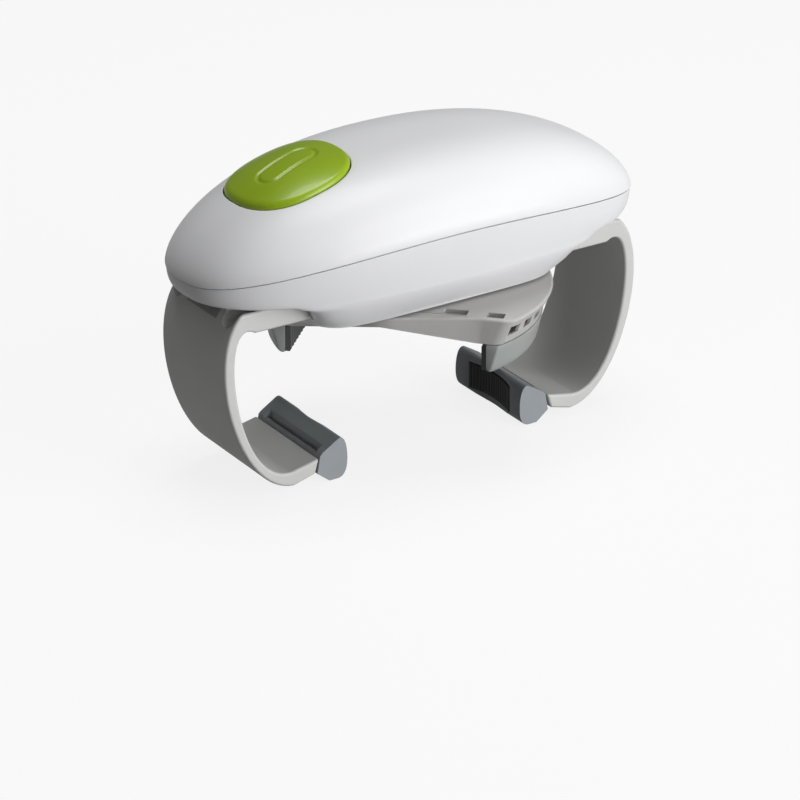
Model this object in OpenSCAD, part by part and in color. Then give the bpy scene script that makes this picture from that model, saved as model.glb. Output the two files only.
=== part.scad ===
// Electric jar opener: two arms grip the jar, a turning turret grips the lid and unscrews it.
// Millimetres. The origin is on the table, under the middle of the object. X runs from the button
// end (-X) to the plain end (+X), Y runs across, Z is up and is the axis that the turret turns on.
// The pieces are drawn as they sit on a jar 80 mm wide with a lid 68 mm wide.

/* [Housing] */
// Half length of the housing at its seam
body_a = 92.1; // [90:0.5:96]
// Half width of the housing at its seam
body_b = 40.4; // [39.5:0.2:43]
// Squareness of the housing's plan outline, 2 is an ellipse
plan_n = 2.42; // [2.3:0.02:2.6]
// Height of the seam above the tops of the arms, at the middle
seam_rise = 19.3; // [18.6:0.1:21]
// How far the seam falls from the middle to the ends
seam_drop = 10.6; // [9:0.1:11]
// Height of the dome above its seam
dome_h = 23.3; // [22.8:0.1:25]
// Fullness of the dome's flanks, higher is squarer
dome_m = 3.2; // [3:0.05:3.6]
// Roundness of the dome's shoulder
dome_q = 1.73; // [1.65:0.01:1.9]
// Wall of both housing shells
wall = 2.5; // [2.2:0.1:2.7]
// Gap between the two housing shells at the seam
seam_gap = 0.15; // [0.1:0.05:0.3]
// Step of the lower shell in from the upper one at the seam
seam_step = 0.35; // [0.2:0.05:0.6]
// Height of the wings' underside above the tops of the arms
wing_gap = 2.2; // [2:0.1:2.8]
// Half length of the wings' underside
wing_a = 89; // [87:0.5:90]
// Half width of the wings' underside
wing_b = 38.5; // [37.8:0.1:39]
// Half width of the boss under the housing
boss_w = 30; // [29.6:0.1:31]
// Radius of the boss's end walls about the turning axis
boss_r = 54; // [53.5:0.1:55]
// Length of the fillet between the boss's end wall and the wing
fillet_l = 14; // [12:0.2:15]
// Height of that fillet
fillet_h = 8.5; // [7.5:0.1:9.5]
// Thickness of the boss floor
floor_t = 3.2; // [3:0.1:3.6]

/* [Arms] */
// Height of each arm, from its heel to the top of its bar
arm_h = 70.2; // [68:0.2:74]
// Height of the arms' heels above the table, which the grips stand on
heel_z = 2; // [1.5:0.1:3]
// Width of each arm
arm_w = 43; // [42:0.1:43.4]
// Thickness of an arm's bar at the top
bar_t = 8; // [7.6:0.1:8.4]
// Where the arm's outer edge leaves the bar's top, from the middle
shoulder_x = 79.4; // [77:0.1:81]
// Where the arm rests on the table, from the middle
heel_x = 59.1; // [57:0.1:61]
// Where the arm ends, at the grip
tip_x = 49.4; // [48:0.1:50.5]
// How far the tip's underside lies above the heel
tip_rise = 2.3; // [2:0.1:2.6]
// Thickness of the arm at its tip
tip_t = 5.6; // [5:0.1:6]
// Inner end of the arm's full-width bar
bar_end_x = 38; // [36:0.5:40]
// Width of the pocket that the other arm's rack runs into
pocket_w = 9.5; // [9.4:0.1:9.6]
// Distance from the middle plane to the pocket
pocket_y = 8.8; // [8.6:0.05:8.8]
// Depth of the pocket
pocket_t = 4.3; // [4.2:0.05:4.5]
// Length of the pocket
pocket_l = 26; // [25.5:0.5:28]
// Radius of the round grooves in the shoulder
groove_r = 3.9; // [3.6:0.1:4]
// Distance of a round groove's middle from the middle plane
groove_y = 16.6; // [16.2:0.1:16.8]
// Depth of the round grooves
groove_t = 5.3; // [5:0.1:5.6]
// Half width of the recess between the round grooves
recess_w = 9.8; // [9:0.1:10.4]
// Depth of that recess
recess_t = 4.4; // [4:0.1:5]
// How far a rack's tip lies past the middle
rack_tip = 22; // [20:0.5:22.5]
// Clearance of the sliding arms
slide_gap = 0.3; // [0.25:0.05:0.35]

/* [Jar grips] */
// Diameter of the jar that the arms hold
jar_d = 80; // [76:1:84]
// Height of a jar grip
grip_h = 15.5; // [14.5:0.1:16.5]
// Width of a jar grip
grip_w = 42; // [40:0.5:42.5]
// How far the grips' tips reach past the jar's nearest side
grip_reach = 3.1; // [2.5:0.1:3.5]

/* [Turret] */
// Direction of the turret's bar
turret_angle = -46; // [-60:1:-40]
// Radius of the turret's ends at the top
turret_r = 53.6; // [53.2:0.1:54]
// Radius of the turret's ends at the foot of the skirt
skirt_r = 50.6; // [50.3:0.1:51]
// Half width of the turret's bar at its ends
turret_w = 28.5; // [28.2:0.1:29]
// Half width of the turret's bar at the middle
turret_mid_w = 36; // [35:0.1:37]
// Gap between the boss and the turret
turret_gap = 1; // [0.9:0.05:1.2]
// Depth of the turret's skirt at its ends
skirt_h = 9.5; // [9.3:0.1:9.8]
// Depth of the turret's skirt at the middle
skirt_mid_h = 3.4; // [3:0.1:4]
// Wall of the turret
turret_wall = 2; // [1.8:0.1:2.2]
// Height of the rim above the end walls
rim_h = 2.8; // [2.4:0.1:3.2]
// Step of the end walls in from the rim
rim_step = 0.8; // [0.5:0.1:0.9]

/* [Lid jaws] */
// Diameter of the lid that the jaws hold
lid_d = 69; // [67:0.5:70]
// Height of a lid jaw below the turret
jaw_h = 11.2; // [10.5:0.1:12]
// Outer radius of a lid jaw at its top
jaw_r = 50.2; // [49.8:0.1:50.5]
// Outer radius of a lid jaw at its foot
jaw_foot_r = 47.8; // [47:0.1:48.4]
// Thickness of a lid jaw's rubber pad
pad_t = 2; // [1.5:0.1:2.5]
// Half width of a lid jaw
jaw_w = 29; // [28.5:0.1:30]

/* [Button] */
// Distance of the button's middle from the housing's middle
button_x = 46.4; // [46:0.1:48]
// How far the button's middle lies behind the middle plane
button_y = 2.2; // [0:0.1:2.5]
// Half length of the button
button_a = 21.2; // [20.5:0.1:22]
// Half width of the button
button_b = 20.2; // [19:0.1:20.6]
// Squareness of the button's outline
button_n = 2.35; // [2.1:0.05:2.5]
// How far the button's middle stands proud of the dome
button_proud = 3; // [2.4:0.1:3.2]
// How far the button's rim stands proud of the dome
button_edge = 1.5; // [1.2:0.1:2]
// Gap round the button
button_gap = 0.4; // [0.3:0.05:0.5]
// Width of the flange that keeps the button in the housing
button_flange = 1.4; // [1:0.1:1.8]

/* [Drive] */
// Radius of the turret's spindle
spindle_r = 6; // [5.8:0.05:6.2]
// Running clearance of shafts in their bores
run_gap = 0.05; // [0.03:0.01:0.08]
// Module of the arm and lid pinions
rack_m = 1; // [1:0.02:1]
// Teeth of the pinion that moves the arms
arm_teeth = 20; // [20:1:20]
// Teeth of the pinion that moves the lid jaws
lid_teeth = 14; // [14:1:14]
// Module of the motor's gear train
train_m = 0.8; // [0.78:0.01:0.82]
// Teeth of the sun gear
sun_teeth = 36; // [35:1:37]
// Teeth of the compound gear's small end
small_teeth = 12; // [11:1:13]
// Teeth of the compound gear's large end
large_teeth = 36; // [35:1:37]
// Teeth of the motor pinion
motor_teeth = 10; // [10:1:11]
// Width of the train's gears
gear_t = 3.5; // [3:0.1:3.8]
// Slack between meshing teeth
backlash = 0.16; // [0.12:0.01:0.22]
// Radius of the drum that holds the planet gears
drum_r = 22; // [21:0.1:22.4]
// Height of the drum
drum_h = 9; // [8.8:0.1:9.2]
// Radius of the motor
motor_r = 12; // [11:0.1:12.2]
// Length of the motor
motor_l = 23.5; // [23:0.1:24]
// Radius of the motor's shaft
motor_shaft_r = 1; // [0.9:0.05:1.2]
// Thickness of the gear frame's plate
plate_t = 2.5; // [2.3:0.1:2.8]

/* [Battery bay] */
// Diameter of a cell
cell_d = 14.5; // [14.3:0.1:14.5]
// Length of a cell
cell_l = 50.5; // [49.5:0.1:50.6]
// Distance of the outer cell from the middle plane
cell_y = 23.5; // [23.2:0.1:23.6]
// Tilt of the battery cover's outward direction above the level
cover_tilt = 40; // [38:1:42]
// Height of the battery cover's lower edge above the seam, along the flank
cover_rise = 3.4; // [3:0.1:4.5]
// Length of the battery cover
cover_l = 57; // [55:0.5:58]
// Width of the battery cover
cover_w = 20; // [19:0.1:20.4]
// Gap round the battery cover
cover_gap = 0.25; // [0.2:0.05:0.35]

/* [Hidden] */
$fn = 96;

// Heights, from the table up
arm_top = heel_z + arm_h;                 // top of the arms' bars
bar_z = arm_top - bar_t;                  // underside of the arms' bars
floor_z = bar_z - slide_gap;              // top of the boss floor
boss_z = floor_z - floor_t;               // bottom of the boss
turret_z = boss_z - turret_gap;           // top of the turret
skirt_z = turret_z - skirt_h;             // bottom of the turret's skirt at its ends
wing_z = arm_top + wing_gap;              // underside of the wings
seam_z = arm_top + seam_rise;             // seam at the middle
plate_z = arm_top + slide_gap;            // underside of the gear frame's plate
drum_z = plate_z + plate_t + 0.6;         // underside of the drum
sun_z = drum_z + drum_h + 0.6;            // underside of the sun gear
bridge_z = sun_z + gear_t + 0.4;          // underside of the gear bridge
bridge_t = 1.8;                           // thickness of the gear bridge
motor_z = plate_z + plate_t;              // bottom of the motor
large_z = motor_z + motor_l + 2;          // underside of the compound gear's large end

// Round stretches of the lofted shells
segments = 72;
eps = 0.01;

function lerp(a, b, t) = a + (b - a) * t;
function smooth(t) = let (u = max(0, min(1, t))) u * u * (3 - 2 * u);
function along(a, b, t) = [lerp(a[0], b[0], t), lerp(a[1], b[1], t)];
function cubic(p0, p1, p2, p3, t) =
    pow(1 - t, 3) * p0 + 3 * pow(1 - t, 2) * t * p1 + 3 * (1 - t) * t * t * p2 + pow(t, 3) * p3;
function signed_pow(v, e) = sign(v) * pow(abs(v), e);
function oval(a, b, n, angle) =
    [a * signed_pow(cos(angle), 2 / n), b * signed_pow(sin(angle), 2 / n)];

// A solid whose skin runs through rings of points, from a start point to an end point
module loft(start, rings, end) {
    count = len(rings[0]);
    points = concat([start], [for (ring = rings) each ring], [end]);
    function at(i, j) = 1 + i * count + j % count;
    faces = concat(
        [for (j = [0:count - 1]) [0, at(0, j), at(0, j + 1)]],
        [for (i = [0:len(rings) - 2], j = [0:count - 1]) each [
            [at(i, j), at(i + 1, j), at(i + 1, j + 1)],
            [at(i, j), at(i + 1, j + 1), at(i, j + 1)]]],
        [for (j = [0:count - 1]) [at(len(rings) - 1, j), len(points) - 1, at(len(rings) - 1, j + 1)]]);
    polyhedron(points, faces, convexity = 8);
}

// ---- Housing ----

function seam_at(x) = seam_z - seam_drop * pow(x / body_a, 2);
function plan_share(x, y, a, b) =
    pow(pow(abs(x) / a, plan_n) + pow(abs(y) / b, plan_n), 1 / plan_n);
// Height of the dome at a place; inset 0 is its outer skin and inset wall is its inner one
function dome_at(x, y, inset) =
    let (share = plan_share(x, y, body_a - inset, body_b - inset))
    seam_at(x) + (dome_h - inset) * pow(max(0, 1 - pow(share, dome_m)), 1 / dome_q);
function dome_ring(inset, share) = [for (j = [0:segments - 1])
    let (p = share * oval(body_a - inset, body_b - inset, plan_n, 360 * j / segments))
    [p[0], p[1], dome_at(p[0], p[1], inset)]];

// The upper shell, whole, before anything is cut out of it
module dome_shell() {
    outer_steps = 11;
    inner_steps = 10;
    loft([0, 0, dome_at(0, 0, wall)],
         concat([for (i = [1:inner_steps]) dome_ring(wall, sin(90 * i / inner_steps))],
                [for (i = [outer_steps:-1:1]) dome_ring(0, sin(90 * i / outer_steps))]),
         [0, 0, dome_at(0, 0, 0)]);
}

function super_radius(angle, a, b) =
    pow(pow(abs(cos(angle)) / a, plan_n) + pow(abs(sin(angle)) / b, plan_n), -1 / plan_n);
function boss_radius(angle, inset) =
    pow(pow(abs(sin(angle)) / (boss_w - inset), 10) + pow(1 / (boss_r - inset), 10), -0.1);
function wing_radius(angle, inset) = super_radius(angle, wing_a - inset, wing_b - inset);
function rim_radius(angle, inset) =
    super_radius(angle, body_a - seam_step - inset, body_b - seam_step - inset);
// 0 beside the boss, where the wall runs straight up, and 1 towards the ends, under the wings
function wing_share(angle) = smooth((wing_radius(angle, 0) - boss_radius(angle, 0) - 9) / 16);

// Section of the lower shell from the boss bottom (s = 0) to the wing's lower edge (s = 1)
function boss_side(angle, inset, low, s) =
    let (near = boss_radius(angle, inset), far = wing_radius(angle, inset), top = wing_z + inset,
         fillet_z = top - fillet_h, turn = 90 * (s - 0.4) / 0.4,
         side = [far - (far - near) * pow(1 - s, 1.5), lerp(low, top, s)],
         end = s <= 0.4 ? [near, lerp(low, fillet_z, s / 0.4)]
             : s <= 0.8 ? [near + fillet_l * (1 - cos(turn)), fillet_z + fillet_h * sin(turn)]
             : [lerp(near + fillet_l, far, (s - 0.8) / 0.2), top])
    along(side, end, wing_share(angle));
// Section from the wing's lower edge (t = 0) to the seam (t = 1)
function wing_side(angle, inset, rim_z, t) =
    let (near = wing_radius(angle, inset), far = rim_radius(angle, inset), low = wing_z + inset,
         side = [far - (far - near) * pow(1 - t, 2), lerp(low, rim_z, t)],
         end = [near + (far - near) * sin(90 * t), lerp(low, rim_z, 1 - cos(90 * t))])
    along(side, end, wing_share(angle));
function seam_angle(j) =
    let (p = oval(body_a, body_b, plan_n, 360 * j / segments)) atan2(p[1], p[0]);
function turned(angle, rz) = [rz[0] * cos(angle), rz[0] * sin(angle), rz[1]];
function rim_z(angle, inset) = seam_at(rim_radius(angle, inset) * cos(angle)) - seam_gap;

// The lower shell, whole: boss, wings and the walls up to the seam
module bowl_shell() {
    edge = 1.2;
    angles = [for (j = [0:segments - 1]) seam_angle(j)];
    foot_ring = [for (a = angles) turned(a, [boss_radius(a, edge), boss_z])];
    outer_boss = [for (s = [0, 0.2, 0.4, 0.53, 0.67, 0.8, 1])
        [for (a = angles) turned(a, boss_side(a, 0, boss_z + edge, s))]];
    outer_wing = [for (t = [0.35, 0.7, 1])
        [for (a = angles) turned(a, wing_side(a, 0, rim_z(a, 0), t))]];
    inner_wing = [for (t = [1, 0.5, 0])
        [for (a = angles) turned(a, wing_side(a, wall, rim_z(a, wall), t))]];
    inner_boss = [for (s = [0.8, 0.6, 0.4, 0])
        [for (a = angles) turned(a, boss_side(a, wall, floor_z, s))]];
    loft([0, 0, boss_z], concat([foot_ring], outer_boss, outer_wing, inner_wing, inner_boss),
         [0, 0, floor_z]);
}

// Housing screws: one under each quarter of the wings
screw_x = 72;
screw_y = 14;
post_r = 3.4;
post_top = wing_z + 9.8;
module at_screws() {
    for (x = [-screw_x, screw_x], y = [-screw_y, screw_y])
        translate([x, y, 0]) children();
}

// Battery bay: the two cells lie along X behind the middle, under a cover on the rear flank
cell_x = -3;
cell_z = seam_z + 2.8;
inner_cell_y = cell_y - 14;
inner_cell_z = cell_z + 4.2;
bay_gap = 0.25;
tray_t = 1.2;
cover_mid_x = cell_x + cell_l / 2;
cover_low = cover_rise + seam_z * cos(cover_tilt) - body_b * sin(cover_tilt);
out_dir = [0, cos(cover_tilt), sin(cover_tilt)];
// A rounded bar along the cover's outward direction; grow 0 is the hole in the dome
module cover_bar(grow) {
    translate([cover_mid_x, 0, 0]) rotate([cover_tilt, 0, 0])
        translate([0, 0, cover_low + cover_w / 2]) rotate([-90, 0, 0])
        linear_extrude(120) rounded(cover_l + 2 * grow, cover_w + 2 * grow, 4 + grow);
}
module rounded(l, w, r) {
    square([l - 2 * r, w], center = true);
    square([l, w - 2 * r], center = true);
    for (x = [-1, 1], y = [-1, 1])
        translate([x * (l / 2 - r), y * (w / 2 - r)]) circle(r);
}

module button_hole() {
    translate([-button_x, button_y, seam_z]) linear_extrude(60)
        polygon([for (j = [0:47])
            oval(button_a + button_gap, button_b + button_gap, button_n, 360 * j / 48)]);
}

module upper_housing() color("white") {
    difference() {
        dome_shell();
        button_hole();
        cover_bar(0);
    }
    // Posts for the housing screws
    difference() {
        at_screws() translate([0, 0, post_top + seam_gap])
            cylinder(h = dome_at(screw_x + post_r, screw_y + post_r, 0) - 0.4 - post_top, r = post_r);
        at_screws() cylinder(h = post_top + 8, r = 1.25);
    }
}

// The slot in each end wall of the boss, for the arm's bar
module arm_slot() {
    for (side = [-1, 1])
        translate([side * (boss_r + 2), 0, floor_z + bar_t / 2 + slide_gap])
            cube([34, arm_w + 2 * slide_gap + 0.6, bar_t + 2 * slide_gap], center = true);
}

module lower_housing() color("white") {
    difference() {
        bowl_shell();
        arm_slot();
        translate([0, 0, boss_z - 1]) cylinder(h = floor_t + 2, r = bushing_r);
        at_screws() translate([0, 0, wing_z - 1]) {
            cylinder(h = 3, r = 2.9);
            cylinder(h = 20, r = 1.7);
        }
    }
    difference() {
        at_screws() translate([0, 0, wing_z + 2]) cylinder(h = post_top - wing_z - 2, r = post_r);
        at_screws() translate([0, 0, wing_z - 1]) cylinder(h = 20, r = 1.7);
    }
}

module battery_cover() color("white") {
    intersection() {
        dome_shell();
        cover_bar(-cover_gap);
    }
}

module housing_screws() color("silver") {
    at_screws() {
        translate([0, 0, wing_z + 0.2]) cylinder(h = 1.8, r = 2.7);
        translate([0, 0, wing_z + 1]) cylinder(h = 14, r = 1.2);
    }
}

// ---- Battery bay ----

module at_cell(outer) {
    translate([cell_x, outer ? cell_y : inner_cell_y, outer ? cell_z : inner_cell_z])
        rotate([0, 90, 0]) children();
}
module cell() {
    cylinder(h = cell_l - 1.2, r = cell_d / 2);
    cylinder(h = cell_l, r = 2.7);
}
module outer_cell() color("dimgray") at_cell(true) cell();
module inner_cell() color("dimgray") at_cell(false) translate([0, 0, cell_l]) mirror([0, 0, 1]) cell();

contact_t = 0.5;
spring_l = 1.4;
module battery_tray() color("gainsboro") {
    length = cell_l + 2 * (spring_l + contact_t);
    start = -spring_l - contact_t;
    difference() {
        union() {
            for (outer = [true, false]) at_cell(outer)
                translate([0, 0, start]) cylinder(h = length, r = cell_d / 2 + bay_gap + tray_t);
            for (outer = [true, false], x = [start - tray_t, start + length]) at_cell(outer)
                translate([0, 0, x]) cylinder(h = tray_t, r = cell_d / 2 + bay_gap);
        }
        for (outer = [true, false]) at_cell(outer)
            translate([0, 0, start]) cylinder(h = length, r = cell_d / 2 + bay_gap);
        // Open towards the cover
        translate([cell_x + start - tray_t - 1, cell_y, cell_z])
            rotate([cover_tilt, 0, 0]) {
                translate([0, -26, -1]) cube([length + 2 * tray_t + 2, 60, 24]);
                translate([0, 4, -26]) cube([length + 2 * tray_t + 2, 30, 40]);
            }
    }
}

module contact(spring) {
    cylinder(h = contact_t, r = 5.5);
    if (spring) translate([0, 0, contact_t]) cylinder(h = spring_l, r1 = 4, r2 = 2.2);
    else translate([0, 0, contact_t]) cylinder(h = spring_l, r = 2);
}
module left_contacts() color("goldenrod") {
    at_cell(true) translate([0, 0, -spring_l - contact_t]) contact(true);
    at_cell(false) translate([0, 0, -spring_l - contact_t]) contact(false);
}
module right_contacts() color("goldenrod") {
    at_cell(true) translate([0, 0, cell_l + spring_l + contact_t]) mirror([0, 0, 1]) contact(false);
    at_cell(false) translate([0, 0, cell_l + spring_l + contact_t]) mirror([0, 0, 1]) contact(true);
}

// ---- Button ----

switch_x = 58;
switch_y = 4;
board_z = seam_z + 3;
board_t = 1.6;
switch_h = 4;
plunger_h = 2.2;
plunger_r = 1.7;
flange_drop = 0.6;
button_foot = dome_at(-switch_x, switch_y, wall) - flange_drop - 1.4;
plunger_z = board_z + board_t + switch_h;

// Each ring's share of the button's size and how much of the rounded rim's height it has
button_share = [[0.985, 0.6], [0.96, 0.9], [0.92, 1], [0.75, 1], [0.5, 1], [0.25, 1]];
function button_lift(share, height) =
    height * button_edge + (button_proud - button_edge) * (1 - share * share);
function button_ring(grow, share, lift, inset) = [for (j = [0:47])
    let (p = share * oval(button_a + grow, button_b + grow, button_n, 360 * j / 48) + [-button_x, button_y])
    [p[0], p[1], dome_at(p[0], p[1], inset) + lift]];
function button_mid(lift, inset) =
    [-button_x, button_y, dome_at(-button_x, button_y, inset) + lift];

module start_button() color("yellowgreen") {
    under = -flange_drop - 1.2;
    loft(button_mid(under, wall),
         concat([for (share = [0.3, 0.6, 0.85, 1]) button_ring(0, share, under, wall)],
                [button_ring(0, 1, 0.2, 0)],
                [for (s = button_share) button_ring(0, s[0], button_lift(s[0], s[1]), 0)]),
         button_mid(button_proud, 0));
    loft(button_mid(under - 0.2, wall),
         [button_ring(button_flange, 0.5, under - 0.2, wall),
          button_ring(button_flange, 1, under - 0.2, wall),
          button_ring(button_flange, 1, -flange_drop, wall),
          button_ring(button_flange, 0.5, -flange_drop, wall)],
         button_mid(-flange_drop, wall));
    translate([-switch_x, switch_y, plunger_z + plunger_h])
        cylinder(h = button_foot - plunger_z - plunger_h, r = 2.5);
}

module start_switch() color("black") {
    translate([-switch_x - 3, switch_y - 3, board_z + board_t]) difference() {
        cube([6, 6, switch_h]);
        translate([3, 3, 1]) cylinder(h = switch_h, r = plunger_r + run_gap);
    }
}
module switch_plunger() color("gold") {
    translate([-switch_x, switch_y, plunger_z - 1]) cylinder(h = plunger_h + 1, r = plunger_r);
}
module circuit_board() color("darkgreen") {
    translate([-72, -9, board_z]) cube([22 - 0.6, 18, board_t]);
}

// ---- Gears ----

pressure = 25;
addendum = 0.9;
dedendum = 1.2;
function involute(a) = (tan(a) - a * PI / 180) * 180 / PI;
// Half the angle of a tooth at radius r
function half_tooth(n, m, r) =
    let (pitch = n * m / 2, base = pitch * cos(pressure))
    90 / n - backlash / 4 / pitch * 180 / PI + involute(pressure)
        - involute(r <= base ? 0 : acos(base / r));
module gear_outline(n, m) {
    root = n * m / 2 - dedendum * m;
    tip = n * m / 2 + addendum * m;
    base = max(root + 0.01, n * m / 2 * cos(pressure));
    radii = [root, base, lerp(base, tip, 0.35), lerp(base, tip, 0.7), tip];
    polygon([for (i = [0:n - 1], side = [-1, 1], k = [0:4])
        let (r = radii[side < 0 ? k : 4 - k], turn = 360 * i / n + side * half_tooth(n, m, r))
        [r * cos(turn), r * sin(turn)]]);
}
module spur(n, m, h, turn) {
    rotate([0, 0, turn]) linear_extrude(h) gear_outline(n, m);
}
// A rack along X: pitch line on the X axis, teeth towards -Y, a tooth at X = 0
module rack_outline(m, first, last, back) {
    slope = tan(pressure);
    half = PI * m / 4 - backlash / 4;
    union() {
        polygon([[first, dedendum * m], [last, dedendum * m], [last, back], [first, back]]);
        for (i = [ceil((first + 2) / PI / m):floor((last - 2) / PI / m)])
            translate([i * PI * m, 0]) polygon([
                [-half + addendum * m * slope, -addendum * m], [half - addendum * m * slope, -addendum * m],
                [half + dedendum * m * slope, dedendum * m + eps],
                [-half - dedendum * m * slope, dedendum * m + eps]]);
    }
}

// Places of the train's axes: the compound gear beside the sun gear, the motor beside that
compound_dir = 200;
motor_dir = 175;
compound_gap = (sun_teeth + small_teeth) / 2 * train_m;
motor_gap = (large_teeth + motor_teeth) / 2 * train_m;
compound_pos = compound_gap * [cos(compound_dir), sin(compound_dir)];
motor_pos = compound_pos + motor_gap * [cos(motor_dir), sin(motor_dir)];
journal_r = 3;
sun_pin_r = 2.5;
function place(p, z) = [p[0], p[1], z];

module sun_gear() color("ivory") {
    translate([0, 0, sun_z]) spur(sun_teeth, train_m, gear_t, compound_dir);
    translate([0, 0, sun_z - 3]) cylinder(h = 3 + eps, r = journal_r);
    translate([0, 0, sun_z + gear_t - eps]) cylinder(h = 2.1, r = sun_pin_r);
}
module compound_gear() color("ivory") {
    translate(place(compound_pos, sun_z))
        spur(small_teeth, train_m, gear_t, compound_dir + 180 + 180 / small_teeth);
    translate(place(compound_pos, sun_z + gear_t - eps))
        cylinder(h = large_z - sun_z - gear_t + 2 * eps, r = journal_r);
    translate(place(compound_pos, large_z)) spur(large_teeth, train_m, gear_t, motor_dir);
}
module motor_pinion() color("goldenrod") {
    translate(place(motor_pos, large_z))
        spur(motor_teeth, train_m, gear_t, motor_dir + 180 + 180 / motor_teeth);
    translate(place(motor_pos, large_z - 8)) cylinder(h = 8 + gear_t + 1, r = motor_shaft_r);
}
module motor() color("silver") {
    translate(place(motor_pos, motor_z)) difference() {
        union() {
            cylinder(h = motor_l, r = motor_r);
            cylinder(h = motor_l + 1.2, r = 3.5);
        }
        translate([0, 0, motor_l - 8]) cylinder(h = 12, r = motor_shaft_r + run_gap);
    }
}

bushing_r = 8.5;
lid_shaft_r = 4;                          // end of the spindle, in the lid pinion
hub_r = 8.5;
sleeve_r = 7.5;
arm_rack_z = arm_top - pocket_t + 0.15;
module arm_pinion() color("ivory") difference() {
    union() {
        translate([0, 0, floor_z + 0.1]) cylinder(h = arm_rack_z - floor_z - 0.1 + eps, r = hub_r);
        translate([0, 0, arm_rack_z]) spur(arm_teeth, rack_m, arm_top - arm_rack_z, 90);
        translate([0, 0, arm_top - eps]) cylinder(h = drum_z - arm_top + eps, r = sleeve_r);
    }
    translate([0, 0, floor_z]) cylinder(h = 20, r = spindle_r + run_gap);
}
module gear_drum() color("ivory") difference() {
    translate([0, 0, drum_z]) cylinder(h = drum_h, r = drum_r);
    translate([0, 0, drum_z - 1]) cylinder(h = 6 + 1, r = spindle_r + run_gap);
    translate([0, 0, sun_z - 3 - 0.3]) cylinder(h = 6, r = journal_r + run_gap);
}
module spindle() color("silver") {
    translate([0, 0, turret_z - turret_wall])
        cylinder(h = drum_z + 5.7 - turret_z + turret_wall, r = spindle_r);
    translate([0, 0, lid_pinion_z - 0.2])
        cylinder(h = turret_z - turret_wall - lid_pinion_z + 0.2 + eps, r = lid_shaft_r);
}
module spindle_bushing() color("peru") difference() {
    translate([0, 0, boss_z]) cylinder(h = floor_t, r = bushing_r);
    translate([0, 0, boss_z - 1]) cylinder(h = floor_t + 2, r = spindle_r + run_gap);
}
module thrust_washer() color("ivory") difference() {
    translate([0, 0, turret_z]) cylinder(h = turret_gap - 0.1, r = 13);
    translate([0, 0, turret_z - 1]) cylinder(h = turret_gap + 2, r = spindle_r);
}

// The frame stands on the boss floor, guides the arms' bars and carries the train
frame_x = 42;
frame_y = 25.2;
post_places = [[24, -15], [-22, -19], [-25, 15]];
module gear_frame() color("gainsboro") difference() {
    union() {
        translate([-frame_x, -frame_y, plate_z]) cube([2 * frame_x, 2 * frame_y, plate_t]);
        for (side = [-1, 1])
            translate([-36, side * (arm_w / 2 + slide_gap + 1.5) - 1.5, floor_z])
                cube([72, 3, plate_z - floor_z + eps]);
        for (p = post_places)
            translate(place(p, plate_z + plate_t - eps)) cylinder(h = bridge_z - plate_z - plate_t, r = 3);
    }
    translate([0, 0, plate_z - 1]) cylinder(h = plate_t + 2, r = sleeve_r + run_gap);
    for (p = post_places)
        translate(place(p, bridge_z - 7)) cylinder(h = 8, r = 1.2);
}
module gear_bridge() color("gainsboro") difference() {
    union() {
        translate([0, 0, bridge_z]) linear_extrude(bridge_t) difference() {
            hull() {
                for (p = post_places) translate(p) circle(5);
                translate(motor_pos) circle(motor_r + 2);
            }
            translate([-10, 4.4]) square([60, 40]);
        }
        translate(place(compound_pos, bridge_z)) cylinder(h = large_z - 0.4 - bridge_z, r = 5.2);
    }
    translate([0, 0, bridge_z - 1]) cylinder(h = 5, r = sun_pin_r + run_gap);
    translate(place(compound_pos, bridge_z - 1)) cylinder(h = 30, r = journal_r + run_gap);
    translate(place(motor_pos, bridge_z - 1)) cylinder(h = 30, r = motor_r + run_gap);
    for (p = post_places) translate(place(p, bridge_z - 1)) cylinder(h = 5, r = 1.5);
}
module bridge_screws() color("silver") {
    for (p = post_places) {
        translate(place(p, bridge_z + bridge_t)) cylinder(h = 1.2, r = 2.4);
        translate(place(p, bridge_z - 6)) cylinder(h = 6 + bridge_t + eps, r = 1.15);
    }
}

// ---- Arms ----

shoulder = [shoulder_x, arm_top];
heel = [heel_x, heel_z];
inner_shoulder = [shoulder_x - 5.4, bar_z];
inner_heel = [heel_x + 0.9, heel_z + tip_t];
arm_steps = 20;
function arm_outline() = concat(
    [[bar_end_x, bar_z], [bar_end_x, arm_top]],
    [for (i = [0:arm_steps])
        cubic(shoulder, shoulder + [16.5, -13.6], heel + [23.1, 1.3], heel, i / arm_steps)],
    [[tip_x + 1, heel_z + tip_rise], [tip_x - 0.6, heel_z + tip_rise + tip_t]],
    [for (i = [0:arm_steps])
        cubic(inner_heel, inner_heel + [23, -1.8], inner_shoulder + [15.4, 10.5], inner_shoulder,
              i / arm_steps)]);

// What is cut into the shoulder: a round groove on each side and a flat recess between them
module shoulder_cuts() {
    start = shoulder_x - 10;
    for (side = [-1, 1]) translate([start, side * groove_y, arm_top - groove_t + groove_r]) {
        rotate([0, 90, 0]) cylinder(h = 25, r = groove_r);
        translate([0, -groove_r, 0]) cube([25, 2 * groove_r, 10]);
    }
    translate([start, -recess_w, arm_top - recess_t]) cube([25, 2 * recess_w, 10]);
}

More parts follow.
